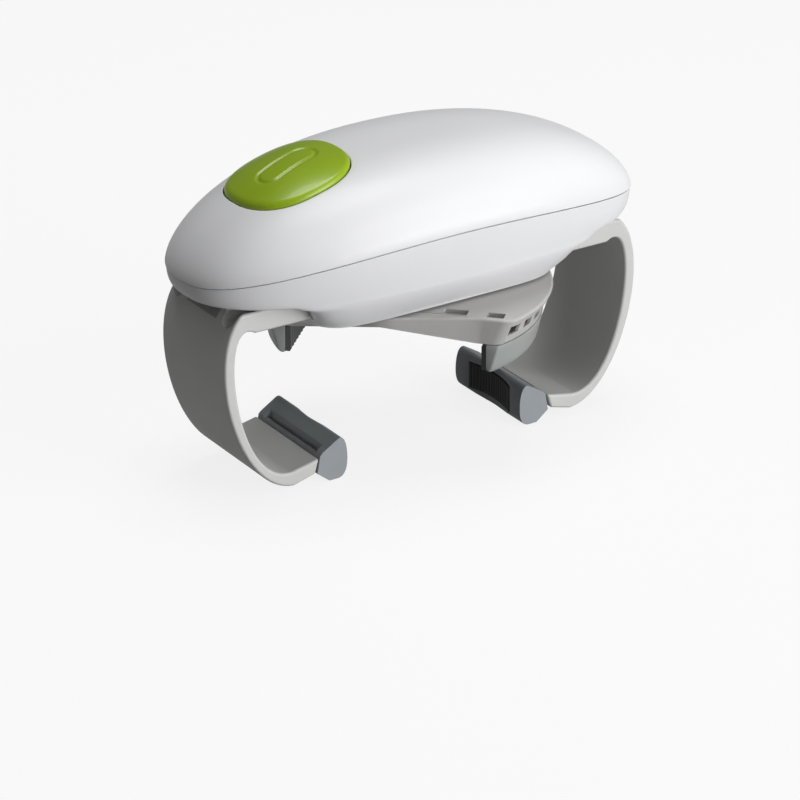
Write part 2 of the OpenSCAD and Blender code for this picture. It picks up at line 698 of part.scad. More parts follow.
// The arm on the +X side; its rack lies on the side of -Y
module arm() {
    difference() {
        rotate([90, 0, 0]) translate([0, 0, -arm_w / 2]) linear_extrude(arm_w) polygon(arm_outline());
        shoulder_cuts();
        translate([bar_end_x - 1, pocket_y, arm_top - pocket_t]) cube([pocket_l + 1, pocket_w, 10]);
    }
    rack_back = arm_w / 2 - 3.7;
    translate([0, 0, arm_rack_z]) linear_extrude(arm_top - arm_rack_z) mirror([0, 1])
        translate([0, arm_teeth * rack_m / 2])
        translate([PI * rack_m / 2, 0])
        rack_outline(rack_m, -rack_tip - PI * rack_m / 2, bar_end_x + 6 - PI * rack_m / 2,
                     rack_back - arm_teeth * rack_m / 2);
}
module right_arm() color("lightgray") arm();
module left_arm() color("lightgray") rotate([0, 0, 180]) arm();

// Side outline of a grip: its root fits the arm's tip, its top slopes up to the rounded nose
function grip_outline() =
    let (nose = jar_d / 2 - grip_reach, root = heel_z + tip_rise, back = root + tip_t,
         crown = [jar_d / 2 + 1.5, grip_h], chin = [nose, grip_h * 0.45])
    concat([[tip_x, root - 0.4], [tip_x - 1.2, back + 0.6], [tip_x - 2.2, back + 1.6]],
           [for (i = [0:6]) cubic(crown, crown + [-3, 1], chin + [0, 5], chin, i / 6)],
           [for (i = [1:6]) cubic(chin, [nose, 3], [nose + 1.2, 0], [nose + 4, 0], i / 6)],
           [[tip_x - 5, 0]]);
grip_ribs = 13;
module jar_grip() {
    reach = jar_d / 2;
    rib_turn = 4.3;
    slot_z = heel_z + tip_rise + tip_t - 2;
    slot_x = tip_x - 4.4;
    difference() {
        intersection() {
            rotate([90, 0, 0]) translate([0, 0, -grip_w / 2]) linear_extrude(grip_w)
                polygon(grip_outline());
            translate([reach + 4, 0, 0]) linear_extrude(30) rounded(24, grip_w, 4.5);
        }
        translate([0, 0, -1]) cylinder(h = 60, r = reach);
        // Upright grooves leave ribs on the face
        for (k = [-(grip_ribs - 1) / 2:(grip_ribs - 1) / 2])
            rotate([0, 0, k * rib_turn]) translate([reach, 0, -1]) cylinder(h = 60, r = 0.7, $fn = 16);
        // Slot between the grip and the arm's tip
        translate([slot_x, -grip_w / 2 + 3.5, slot_z]) cube([3.2, grip_w - 7, 12]);
    }
    // Round rail along the slot
    translate([slot_x + 1.6, grip_w / 2 - 3.6, slot_z + 0.7]) rotate([90, 0, 0])
        cylinder(h = grip_w - 7.2, r = 1.1);
}
module right_jar_grip() color("slategray") jar_grip();
module left_jar_grip() color("slategray") rotate([0, 0, 180]) jar_grip();

// ---- Turret ----

lid_pinion_z = skirt_z + 2.2;
jaw_rack_t = 4.6;
jaw_rack_y = lid_teeth * rack_m / 2;
jaw_z = skirt_z - slide_gap;

taper_x = 33;                             // where the turret's long sides turn straight
module turret_plan(inset) {
    mid = turret_mid_w - inset;
    side = turret_w - inset;
    polygon([[0, mid], [-taper_x, side], [-turret_r - 5, side], [-turret_r - 5, -side], [-taper_x, -side],
             [0, -mid], [taper_x, -side], [turret_r + 5, -side], [turret_r + 5, side], [taper_x, side]]);
}
// Everything of the turret is drawn with its bar along X and turned into place
module turret_place() rotate([0, 0, turret_angle]) children();
// The turret's outside, or its inside where inset is its wall
module turret_block(inset, low, high) {
    intersection() {
        translate([0, 0, low]) linear_extrude(high - low) turret_plan(inset);
        translate([0, 0, skirt_z - 1]) cylinder(h = skirt_h + 1, r1 = skirt_r - 0.3 - inset,
                                                r2 = turret_r - inset);
    }
}

module turret_cover() color("lightgray") turret_place() difference() {
    turret_block(0, skirt_z, turret_z);
    turret_block(turret_wall, skirt_z - 1, turret_z - turret_wall);
    translate([0, 0, skirt_z - 1]) cylinder(h = skirt_h + 3, r = spindle_r + run_gap);
    // The skirt is shallower towards the middle
    rotate([90, 0, 0]) translate([0, 0, -turret_mid_w - 1]) linear_extrude(2 * turret_mid_w + 2)
        polygon([[-taper_x, skirt_z - 2], [-taper_x, skirt_z], [0, turret_z - skirt_mid_h],
                 [taper_x, skirt_z], [taper_x, skirt_z - 2]]);
    // Two windows beside each long edge
    for (turn = [0, 180]) rotate([0, 0, turn]) {
        for (window = [[20.5, 8.5], [35.8, 6.4]])
            translate([window[0], -turret_w + 2, turret_z - 3]) cube([window[1], 4.2, 6]);
    }
    // Comb of openings in each end wall, below the rim
    comb_pitch = 7.8;
    comb_h = 3.8;
    for (side = [-1, 1], k = [-3:3])
        translate([side * (turret_r - 3), k * comb_pitch, turret_z - rim_h - comb_h / 2])
            cube([16, 4.8, comb_h], center = true);
    // The end walls step in below the rim
    difference() {
        translate([-turret_r, rim_step + 0.4 - turret_w, skirt_z - 1])
            cube([2 * turret_r, 2 * (turret_w - rim_step - 0.4), skirt_h + 1 - rim_h]);
        translate([0, 0, skirt_z - 1])
            cylinder(h = skirt_h + 1, r1 = skirt_r - 0.3 - rim_step, r2 = turret_r - rim_step);
    }
}

base_x = 20;
base_y = 22;
base_t = 1.8;
base_screws = [[15.5, 18.5], [15.5, -18.5], [-15.5, 18.5], [-15.5, -18.5]];
module turret_base() color("lightgray") turret_place() difference() {
    union() {
        translate([-base_x, -base_y, skirt_z]) cube([2 * base_x, 2 * base_y, base_t]);
        for (p = base_screws) translate(place(p, skirt_z + base_t - eps))
            cylinder(h = skirt_h - turret_wall - base_t + eps, r = 2.6);
    }
    for (p = base_screws) translate(place(p, skirt_z - 1)) cylinder(h = 8, r = 1.2);
}
module turret_screws() color("silver") turret_place() {
    for (p = base_screws) {
        translate(place(p, skirt_z - 1)) cylinder(h = 1, r = 2.2);
        translate(place(p, skirt_z - eps)) cylinder(h = 6, r = 1.15);
    }
}
module lid_pinion() color("ivory") turret_place() difference() {
    translate([0, 0, lid_pinion_z]) spur(lid_teeth, rack_m, jaw_rack_t, 90);
    translate([0, 0, lid_pinion_z - 1]) cylinder(h = 10, r = lid_shaft_r + run_gap);
}

// A lid jaw on the turret's +X side, with its rack on the +Y side
module lid_jaw() {
    carriage_x = 38;
    carriage_l = 4;
    face_x = lid_d / 2 + pad_t;
    intersection() {
        translate([0, 0, jaw_z - jaw_h]) cylinder(h = jaw_h, r1 = jaw_foot_r, r2 = jaw_r);
        translate([face_x, -jaw_w, jaw_z - jaw_h]) cube([30, 2 * jaw_w, jaw_h]);
    }
    translate([carriage_x, -12, jaw_z - eps])
        cube([carriage_l, 24, lid_pinion_z + jaw_rack_t - jaw_z + eps]);
    translate([0, 0, lid_pinion_z]) linear_extrude(jaw_rack_t)
        translate([PI * rack_m / 2, jaw_rack_y])
        rack_outline(rack_m, -13 - PI * rack_m / 2, carriage_x + 1 - PI * rack_m / 2, 12 - jaw_rack_y);
}
// The rubber pad on a jaw's face, with upright ribs
module lid_pad() {
    face_x = lid_d / 2 + pad_t;
    difference() {
        translate([face_x - pad_t, -jaw_w + 1, jaw_z - jaw_h + 0.8])
            cube([pad_t, 2 * jaw_w - 2, jaw_h - 1.6]);
        for (k = [-8:8])
            translate([face_x - pad_t, k * 3.2, jaw_z - jaw_h]) rotate([0, 0, 45])
                translate([-0.6, -0.6, 0]) cube([1.2, 1.2, jaw_h]);
    }
}
module near_lid_jaw() color("darkgray") turret_place() lid_jaw();
module far_lid_jaw() color("darkgray") turret_place() rotate([0, 0, 180]) lid_jaw();
module near_lid_pad() color("dimgray") turret_place() lid_pad();
module far_lid_pad() color("dimgray") turret_place() rotate([0, 0, 180]) lid_pad();

upper_housing();
lower_housing();
battery_cover();
battery_tray();
outer_cell();
inner_cell();
left_contacts();
right_contacts();
start_button();
start_switch();
switch_plunger();
circuit_board();
housing_screws();
gear_frame();
gear_bridge();
bridge_screws();
motor();
motor_pinion();
compound_gear();
sun_gear();
gear_drum();
arm_pinion();
spindle();
spindle_bushing();
thrust_washer();
left_arm();
right_arm();
left_jar_grip();
right_jar_grip();
turret_cover();
turret_base();
turret_screws();
lid_pinion();
near_lid_jaw();
far_lid_jaw();
near_lid_pad();
far_lid_pad();
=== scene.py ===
# %% [markdown]
# # An electric jar opener
# A long white shell holds a motor and gears. Two arms slide out of its boss and hold on from both sides,
# while a turret below the boss turns two jaws. The solids come from the CAD model; this lesson dresses
# them. Where a solid is plain, such as the gears inside, it only gets a finish. Where the eye rests, such
# as the shell, a new piece with finer curves and softened edges replaces it.

# %% Load the frame
import math
import bmesh
import bpy
from mathutils import Matrix, Vector


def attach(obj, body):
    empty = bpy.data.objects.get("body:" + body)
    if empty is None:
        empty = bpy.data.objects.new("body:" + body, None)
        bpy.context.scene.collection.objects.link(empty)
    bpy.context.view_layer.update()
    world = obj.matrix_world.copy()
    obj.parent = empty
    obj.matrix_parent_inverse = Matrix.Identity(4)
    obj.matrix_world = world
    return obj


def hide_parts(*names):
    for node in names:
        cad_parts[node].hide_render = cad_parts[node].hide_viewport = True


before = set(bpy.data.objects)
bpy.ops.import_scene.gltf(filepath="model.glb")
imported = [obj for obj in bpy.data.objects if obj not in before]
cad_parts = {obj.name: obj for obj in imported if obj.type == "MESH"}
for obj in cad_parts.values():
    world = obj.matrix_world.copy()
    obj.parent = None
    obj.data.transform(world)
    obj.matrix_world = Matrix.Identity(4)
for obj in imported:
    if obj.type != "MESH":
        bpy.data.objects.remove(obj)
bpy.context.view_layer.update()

# %% [markdown]
# ## The camera first
# A long lens from far away, as product photographers use, keeps the two arms almost the same size. The
# camera looks down by 25 degrees and stands left of the middle, so that the button's end comes forward.

# %% Camera
MM = 0.001
AZIMUTH, ELEVATION, DISTANCE = math.radians(-32.97), math.radians(25.04), 1.5
AIM = Vector((-1.16, 0, 12.2)) * MM
FOCAL_PIXELS, IMAGE_PIXELS, SENSOR = 4155, 800, 36
back = Vector((math.sin(AZIMUTH) * math.cos(ELEVATION), -math.cos(AZIMUTH) * math.cos(ELEVATION),
               math.sin(ELEVATION)))
lens = bpy.data.cameras.new("camera")
lens.sensor_width = SENSOR
lens.lens = FOCAL_PIXELS / IMAGE_PIXELS * SENSOR
lens.clip_start, lens.clip_end = 0.1, 20
camera = bpy.data.objects.new("camera", lens)
camera.location = AIM + back * DISTANCE
camera.rotation_mode = "QUATERNION"
camera.rotation_quaternion = (-back).to_track_quat("-Z", "Y")
bpy.context.scene.collection.objects.link(camera)
bpy.context.scene.camera = camera
print("lens of", round(lens.lens), "mm")

# %% [markdown]
# ## Shader sums as plain expressions
# Small irregularities make plastic look like plastic: a faint unevenness in the gloss, a grain that only
# the highlight shows. They are sums of noise, and a sum reads best as one. The class below wraps a socket,
# so that 1 - mask or noise * 0.1 adds the Math nodes by itself. A colour never goes through a Math node.

# %% One class for sums
class Wire:
    """An output socket that can be added, multiplied and subtracted like a number."""

    def __init__(self, finish, socket):
        self.finish, self.socket = finish, socket

    def combine(self, operation, first, second):
        return self.finish.node("ShaderNodeMath", {"operation": operation}, {0: first, 1: second})

    def __add__(self, other):
        return self.combine("ADD", self, other)

    def __sub__(self, other):
        return self.combine("SUBTRACT", self, other)

    def __rsub__(self, other):
        return self.combine("SUBTRACT", other, self)

    def __mul__(self, other):
        return self.combine("MULTIPLY", self, other)

    __radd__, __rmul__ = __add__, __mul__


print("a wire can be added, subtracted and multiplied, on either side of a number")

# %% One method for nodes
class Finish:
    """One material with its nodes; the shader's own sockets take what is the same all over."""

    def __init__(self, name, **plain):
        self.material = bpy.data.materials.new(name)
        self.material.use_nodes = True
        self.tree = self.material.node_tree
        self.shader = self.tree.nodes["Principled BSDF"]
        for socket, value in plain.items():
            self.shader.inputs[socket.replace("_", " ")].default_value = value
        self.place = self.node("ShaderNodeTexCoord", out="Object")

    def link(self, target, value):
        """Joins a wire to a socket, or sets the socket to a value."""
        if isinstance(value, Wire):
            self.tree.links.new(value.socket, target)
        else:
            target.default_value = value

    def node(self, kind, settings=None, sockets=None, out=0):
        """A new node: its settings are set first, then the values or links of its sockets."""
        made = self.tree.nodes.new(kind)
        for name, value in (settings or {}).items():
            setattr(made, name, value)
        for name, value in (sockets or {}).items():
            self.link(made.inputs[name], value)
        return Wire(self, made.outputs[out])

    def noise(self, per_mm, detail, roughness=0.5, stretch=(1, 1, 1)):
        """Noise from 0 to 1 with about per_mm blotches to a millimetre."""
        where = self.node("ShaderNodeMapping", {}, {"Vector": self.place, "Scale": stretch})
        return self.node("ShaderNodeTexNoise", {}, {
            "Vector": where, "Scale": per_mm / MM, "Detail": detail, "Roughness": roughness})

    def blend(self, share, first, second):
        """first where share is 0, second where it is 1; both are linear colours."""
        return self.node("ShaderNodeMix", {"data_type": "RGBA"}, {0: share, 6: first, 7: second}, out=2)

    def bump(self, height, depth_mm):
        """A relief of depth_mm where height is 1."""
        relief = self.node("ShaderNodeBump", {}, {"Height": height, "Distance": depth_mm * MM})
        self.link(self.shader.inputs["Normal"], relief)

    def set(self, **inputs):
        """Feeds what changes over the surface, with a socket's spaces written as underscores."""
        for socket, value in inputs.items():
            self.link(self.shader.inputs[socket.replace("_", " ")], value)


def tint(r, g, b):
    return (r, g, b, 1)


print("noise, blends and bumps are ready for the finishes")

# %% [markdown]
# ## Moulded plastics
# The shell is glossy white polystyrene. Its gloss is never perfect: a very low, wide waviness from the
# mould, and a faint change in roughness where hands polish it. The arms and the turret are the same kind
# of plastic from a mould with a fine spark-eroded grain, which is why they look satin. The button is
# green all through and a little shinier than the shell, as a piece is that a thumb polishes.

# %% White shell, grey arms, green button
def gloss_white():
    paint = Finish("gloss_white", IOR=1.5, Specular_IOR_Level=0.4)
    cloud = paint.noise(0.02, 3)
    grain = paint.noise(2.4, 2)
    paint.set(Base_Color=paint.blend(cloud, tint(0.80, 0.805, 0.825), tint(0.84, 0.84, 0.85)),
              Roughness=0.36 + 0.08 * paint.noise(0.06, 3) + 0.05 * grain,
              Coat_Weight=0.04 + 0.06 * cloud)
    paint.bump(0.8 * paint.noise(0.05, 1) + 0.2 * grain, 0.012)
    return paint.material


def satin_grey(name, dark, light, rough=0.42, grain_mm=0.02):
    paint = Finish(name, IOR=1.47)
    cloud = paint.noise(0.03, 3)
    grain = paint.noise(3.2, 3, 0.6)
    paint.set(Base_Color=paint.blend(0.7 * cloud + 0.3 * grain, dark, light),
              Roughness=rough + 0.12 * (grain - 0.5) + 0.06 * cloud)
    paint.bump(grain, grain_mm)
    return paint.material


def gloss_green():
    paint = Finish("gloss_green", IOR=1.5)
    cloud = paint.noise(0.04, 3)
    grain = paint.noise(2.5, 2)
    paint.set(Base_Color=paint.blend(cloud, tint(0.275, 0.415, 0.006), tint(0.320, 0.475, 0.008)),
              Roughness=0.24 + 0.08 * cloud + 0.04 * grain,
              Coat_Weight=0.12 + 0.1 * cloud)
    paint.bump(0.8 * paint.noise(0.06, 1) + 0.2 * grain, 0.01)
    return paint.material


white = gloss_white()
arm_grey = satin_grey("satin_grey", tint(0.60, 0.60, 0.585), tint(0.66, 0.66, 0.645))
turret_grey = satin_grey("turret_grey", tint(0.475, 0.47, 0.46), tint(0.525, 0.52, 0.505), 0.38)
jaw_grey = satin_grey("jaw_grey", tint(0.31, 0.33, 0.32), tint(0.355, 0.375, 0.365), 0.4)
green = gloss_green()
print("moulded plastics:", [m.name for m in (white, arm_grey, turret_grey, jaw_grey, green)])

# %% [markdown]
# ## Rubber
# The pieces that grip are soft rubber. Rubber scatters light in a broad, weak sheen and carries a powdery
# bloom, so its colour is lighter in patches and its roughness is high everywhere.

# %% Rubbers
def rubber(name, dark, light, rough):
    soft = Finish(name, IOR=1.5, Specular_IOR_Level=0.35)
    bloom = soft.noise(0.08, 4, 0.6)
    grain = soft.noise(1.8, 3, 0.6)
    soft.set(Base_Color=soft.blend(0.75 * bloom + 0.25 * grain, dark, light),
             Roughness=rough + 0.15 * (bloom - 0.5) + 0.08 * grain)
    soft.bump(grain, 0.03)
    return soft.material


grip_rubber = rubber("grip_rubber", tint(0.29, 0.315, 0.335), tint(0.345, 0.37, 0.39), 0.5)
face_rubber = rubber("dark_rubber", tint(0.018, 0.019, 0.018), tint(0.03, 0.031, 0.029), 0.55)
pad_rubber = rubber("lid_rubber", tint(0.085, 0.095, 0.088), tint(0.11, 0.12, 0.113), 0.55)
print("rubbers:", [m.name for m in (grip_rubber, face_rubber, pad_rubber)])

# %% [markdown]
# ## What is inside
# The gears are natural acetal, the frame a recycled grey, the shafts plain steel and the contacts brass.
# They are hidden in use, but a cover can be pulled off and the arms slide out, so each has its finish.

# %% Metals and inner plastics
TURNED_LINES = (1, 1, 30)  # the streaks run round an upright axis, so they are thin in height


def turned_metal(name, dark, light):
    metal = Finish(name, Metallic=1.0)
    streak = metal.noise(0.5, 3, 0.6, TURNED_LINES)
    metal.set(Base_Color=metal.blend(metal.noise(0.1, 3), dark, light),
              Roughness=0.3 + 0.18 * (streak - 0.5))
    metal.bump(streak, 0.006)
    return metal.material


steel = turned_metal("plain_steel", tint(0.50, 0.50, 0.51), tint(0.60, 0.60, 0.61))
brass = turned_metal("plain_brass", tint(0.60, 0.42, 0.16), tint(0.72, 0.52, 0.22))
ivory = satin_grey("acetal_ivory", tint(0.68, 0.65, 0.55), tint(0.75, 0.72, 0.62), 0.36, 0.01)
frame_grey = satin_grey("frame_grey", tint(0.33, 0.33, 0.33), tint(0.42, 0.42, 0.41), 0.5)
black = satin_grey("black_plastic", tint(0.012, 0.012, 0.012), tint(0.02, 0.02, 0.02), 0.4)
jacket = satin_grey("cell_jacket", tint(0.02, 0.022, 0.03), tint(0.035, 0.035, 0.05), 0.25, 0.004)
board = satin_grey("board_lacquer", tint(0.01, 0.10, 0.03), tint(0.015, 0.14, 0.045), 0.25, 0.01)

INNER = {
    "battery_tray": frame_grey, "outer_cell": jacket, "inner_cell": jacket, "left_contacts": brass,
    "right_contacts": brass, "start_switch": black, "switch_plunger": black, "circuit_board": board,
    "housing_screws": steel, "gear_frame": frame_grey, "gear_bridge": frame_grey, "bridge_screws": steel,
    "motor": steel, "motor_pinion": brass, "compound_gear": ivory, "sun_gear": ivory, "gear_drum": ivory,
    "arm_pinion": ivory, "spindle": steel, "spindle_bushing": brass, "thrust_washer": ivory,
    "turret_base": turret_grey, "turret_screws": steel, "lid_pinion": ivory,
}


def dress(solid, material):
    solid.data.materials.clear()
    solid.data.materials.append(material)


for node_name, material in INNER.items():
    dress(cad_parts[node_name], material)
print(len(INNER), "solids keep their shape and get a finish")

# %% [markdown]
# ## A sheet bent into shape
# Most outer forms here are skins whose sections change along the way: a shell, a button, a rubber grip.
# One grid of squares can be bent into all of them: a rule says where each corner goes, and corners that
# meet are welded, which closes the seam and the poles. The rules below are the CAD model's own curves,
# so the new skins lie exactly where the solids are.

# %% A bent sheet
def skin(across, along, place):
    """A grid of across by along squares whose corner (i, j) goes to place(i, j), in millimetres."""
    sheet = bmesh.new()
    bmesh.ops.create_grid(sheet, x_segments=across, y_segments=along, size=1)
    for corner in sheet.verts:
        i = round((corner.co.x + 1) / 2 * across)
        j = round((corner.co.y + 1) / 2 * along)
        corner.co = Vector(place(i, j)) * MM
    bmesh.ops.remove_doubles(sheet, verts=sheet.verts, dist=1e-7)
    bmesh.ops.recalc_face_normals(sheet, faces=sheet.faces)
    return sheet


def skin_over(rows):
    """A skin through rows of points, each row as long as the next."""
    return skin(len(rows) - 1, len(rows[0]) - 1, lambda i, j: rows[i][j])


def spread(first, last, count):
    """Values in count equal steps from first to last."""
    return [first + (last - first) * k / count for k in range(count + 1)]


sample = skin(3, 2, lambda i, j: (i, j, 0))
print("a sheet of 3 by 2 squares has", len(sample.verts), "corners")
sample.free()

# %% [markdown]
# ## Blocks, soft edges and cuts
# The other pieces start as a flat outline that is pushed out. No moulded edge is sharp, so a bevel rounds
# it, and weighted normals keep the large faces flat, so that only the soft edge catches the light. An
# opening is cut with a Boolean modifier, and what the modifier gives becomes the piece's own mesh.

# %% Blocks
def flat_block(outline, low, high, axis="Z"):
    """A block with a flat outline, in millimetres, that runs from low to high along its axis."""
    sheet = bmesh.new()
    corners = [sheet.verts.new(Vector((x, y, low)) * MM) for x, y in outline]
    border = [sheet.edges.new(pair) for pair in zip(corners, corners[1:] + corners[:1])]
    face = bmesh.ops.contextual_create(sheet, geom=border)["faces"]
    grown = bmesh.ops.extrude_face_region(sheet, geom=face)["geom"]
    bmesh.ops.translate(sheet, verts=[g for g in grown if isinstance(g, bmesh.types.BMVert)],
                        vec=(0, 0, (high - low) * MM))
    if axis == "Y":  # the outline's second number becomes the height
        turn(sheet, 90, "X")
    bmesh.ops.recalc_face_normals(sheet, faces=sheet.faces)
    return sheet


def box(x0, x1, y0, y1, z0, z1):
    return flat_block([(x0, y0), (x1, y0), (x1, y1), (x0, y1)], z0, z1)


def turn(sheet, degrees, axis="Z"):
    bmesh.ops.rotate(sheet, verts=sheet.verts, cent=(0, 0, 0),
                     matrix=Matrix.Rotation(math.radians(degrees), 3, axis))
    return sheet


def shift(sheet, x, y, z):
    bmesh.ops.translate(sheet, verts=sheet.verts, vec=(x * MM, y * MM, z * MM))
    return sheet


sample = box(0, 3, 0, 2, 0, 1)
print("a box has", len(sample.faces), "faces")
sample.free()

# %% Soft edges and cuts
SHARP = 35  # degrees between two faces, past which their edge is shown, or rounded


def soften(sheet, width, segments, angle=SHARP):
    """Rounds the edges that are sharper than angle."""
    edges = [e for e in sheet.edges if e.is_manifold and e.calc_face_angle() > math.radians(angle)]
    bmesh.ops.bevel(sheet, geom=edges, offset=width * MM, offset_type="OFFSET", affect="EDGES",
                    segments=segments, profile=0.5, material=-1, clamp_overlap=True)
    return sheet


def shade(mesh, sharp=SHARP):
    mesh.shade_smooth()
    mesh.set_sharp_from_angle(angle=math.radians(sharp))


def as_object(name, sheet, sharp=SHARP):
    mesh = bpy.data.meshes.new(name)
    sheet.to_mesh(mesh)
    sheet.free()
    shade(mesh, sharp)
    made = bpy.data.objects.new(name, mesh)
    bpy.context.scene.collection.objects.link(made)
    return made


def soften_again(made, width, segments=2):
    """Rounds the edges that a cut has left sharp."""
    sheet = bmesh.new()
    sheet.from_mesh(made.data)
    soften(sheet, width, segments)
    sheet.to_mesh(made.data)
    sheet.free()
    shade(made.data)


def cut(made, *sheets, sharp=SHARP, operation="DIFFERENCE"):
    """Cuts each sheet's form out of an object and applies the result to its mesh."""
    for sheet in sheets:
        tool = as_object("tool", sheet)
        step = made.modifiers.new("cut", "BOOLEAN")
        step.operation, step.solver, step.object = operation, "EXACT", tool
        bpy.context.view_layer.update()
        graph = bpy.context.evaluated_depsgraph_get()
        cut_mesh = bpy.data.meshes.new_from_object(made.evaluated_get(graph))
        made.modifiers.clear()
        made.data = cut_mesh
        bpy.data.objects.remove(tool)
    shade(made.data, sharp)


print("edges past", SHARP, "degrees are shown")

# %% [markdown]
# ## Each piece on its body
# A piece rides on the body whose joint moves it, takes its finish, and says which
# solids it stands in for. The solids themselves stay as the CAD model gave them.

# %% Onto its body
def fit(made, body, slot, material, *nodes, even=True):
    """Puts a finished piece on its body, in place of the named solids."""
    dress(made, material)
    if even:  # large flat faces keep their own direction, so that only the soft edges catch the light
        weigh = made.modifiers.new("weigh", "WEIGHTED_NORMAL")
        weigh.keep_sharp = True
    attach(made, body)
    if nodes:
        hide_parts(*nodes)
    print(made.name, "has", len(made.data.polygons), "faces and rides on", body)


# %% [markdown]
# ## The upper shell
# Seen from above the shell is a squarish oval, and its seam falls towards both ends. The dome stands on
# that seam. The skin starts at the button's opening, where it turns down over a small rounded lip, runs
# out over the dome to the seam, and comes back inside, so that the shell has its real wall all round.

# %% Curves of the housing, in millimetres
BODY_A, BODY_B, PLAN_N = 92.1, 40.4, 2.42
SEAM_Z, SEAM_DROP = 91.5, 10.6
DOME_H, DOME_M, DOME_Q = 23.3, 3.2, 1.73
WALL, RIM_W = 2.5, 2.2
BUTTON_X, BUTTON_Y, BUTTON_A, BUTTON_B, BUTTON_N = -46.4, 2.2, 21.2, 20.2, 2.35
BUTTON_GAP = 0.4


def oval(a, b, n, angle):
    """A point of an oval with the half axes a and b; the higher n is, the squarer it gets."""
    c, s = math.cos(angle), math.sin(angle)
    return a * math.copysign(abs(c) ** (2 / n), c), b * math.copysign(abs(s) ** (2 / n), s)


def seam_at(x):
    return SEAM_Z - SEAM_DROP * (x / BODY_A) ** 2


def dome_at(x, y, inset=0.0):
    share = ((abs(x) / (BODY_A - inset)) ** PLAN_N + (abs(y) / (BODY_B - inset)) ** PLAN_N) ** (1 / PLAN_N)
    return seam_at(x) + (DOME_H - inset) * max(0.0, 1 - share ** DOME_M) ** (1 / DOME_Q)


print("the dome's top is", round(dome_at(0, 0), 1), "mm above the table")

# %% The dome
AROUND = 216
ANGLES = [2 * math.pi * i / AROUND for i in range(AROUND)] + [0.0]
LIP_R, LIP_STEPS, DOME_STEPS, INSIDE_STEPS = 0.55, 5, 46, 16
EDGE_LIFT = 0.5  # the dome ends this far above the seam, and a rounded lower edge follows
LOWER_EDGE = ((0.1, 0.3), (0.3, 0.2), (RIM_W, 0.2))  # how far in, and how far above the seam


def mixed(first, second, share):
    """A point between two: the first where share is 0, the second where it is 1."""
    return tuple(a + (b - a) * share for a, b in zip(first, second))


def quarter_turn(steps):
    """Sine and cosine in equal steps from 0 to 90 degrees, for a rounded edge."""
    return [(math.sin(math.radians(a)), math.cos(math.radians(a))) for a in spread(0, 90, steps)]


def dome_path(angle):
    """The shell's section from the lip of the button's opening to the seam and back inside."""
    x, y = oval(BUTTON_A + BUTTON_GAP, BUTTON_B + BUTTON_GAP, BUTTON_N, angle)
    opening = (BUTTON_X + x, BUTTON_Y + y)

    def at(share, inset=0):
        return mixed(opening, oval(BODY_A - inset, BODY_B - inset, PLAN_N, angle), share)

    x, y = opening
    path = [(x, y, dome_at(x, y) - WALL)]
    reach = math.dist(opening, at(1))
    for sine, cosine in quarter_turn(LIP_STEPS):
        x, y = at(LIP_R * (1 - cosine) / reach)
        path.append((x, y, dome_at(x, y) - LIP_R * (1 - sine)))
    start = LIP_R / reach
    for k in range(1, DOME_STEPS + 1):
        x, y = at(start + (1 - start) * math.sin(math.pi / 2 * k / DOME_STEPS))
        path.append((x, y, dome_at(x, y) + EDGE_LIFT * (k == DOME_STEPS)))
    for inset, lift in LOWER_EDGE:
        x, y = at(1, inset)
        path.append((x, y, seam_at(x) + lift))
    for k in range(INSIDE_STEPS, 0, -1):
        x, y = at(math.sin(math.pi / 2 * k / INSIDE_STEPS), WALL)
        path.append((x, y, dome_at(x, y, WALL)))
    return path + path[:1]


upper = as_object("upper_shell", skin_over([dome_path(a) for a in ANGLES]))
print("the dome's skin has", len(upper.data.polygons), "faces")

# %% [markdown]
# The battery cover lies on the rear flank. Its opening and the cover itself are cut from one and the same
# skin with a rounded bar, the cover a quarter of a millimetre smaller, so the dome runs across the joint.

# %% Battery cover
COVER_TILT, COVER_X, COVER_L, COVER_W, COVER_CORNER, COVER_GAP = 40, 22.25, 57, 20, 4, 0.25
COVER_RISE, BAR_FROM, BAR_TO, CORNER_STEPS = 3.4, 20, 120, 8
COVER_LOW = (COVER_RISE + SEAM_Z * math.cos(math.radians(COVER_TILT))
             - BODY_B * math.sin(math.radians(COVER_TILT)))


def plus(p, dx, dy):
    return p[0] + dx, p[1] + dy


def around(radius, degrees):
    """The point of a circle round the origin at an angle."""
    return radius * math.cos(math.radians(degrees)), radius * math.sin(math.radians(degrees))


def cover_bar(gap):
    """The bar that cuts the opening, or with a gap the cover that lies in it."""
    half_l, half_w, radius = COVER_L / 2 - gap, COVER_W / 2 - gap, COVER_CORNER - gap
    outline = []
    for corner, (sx, sy) in enumerate(((1, 1), (-1, 1), (-1, -1), (1, -1))):
        middle = sx * (half_l - radius), sy * (half_w - radius)
        outline += [plus(middle, *around(radius, a))
                    for a in spread(90 * corner, 90 * corner + 90, CORNER_STEPS)]
    bar = turn(flat_block(outline, BAR_FROM, BAR_TO), -90, "X")
    shift(bar, 0, 0, COVER_LOW + COVER_W / 2)
    return shift(turn(bar, COVER_TILT, "X"), COVER_X, 0, 0)


cover = upper.copy()
cover.data = upper.data.copy()
cover.name = "rear_cover"
bpy.context.scene.collection.objects.link(cover)
cut(upper, cover_bar(0))
cut(cover, cover_bar(COVER_GAP), operation="INTERSECT")
fit(upper, "housing", "white_plastic", white, "upper_housing", even=False)
fit(cover, "battery_cover", "white_plastic", white, "battery_cover", even=False)

# %% [markdown]
# ## The lower shell
# From below the housing is a boss that the turret turns under, with a wing at each end that hides the
# arms' bars. Beside the boss the wall runs straight up; towards the ends it bends out through a fillet
# into the wing. The section is a mix of the two, and the mix changes smoothly round the boss.

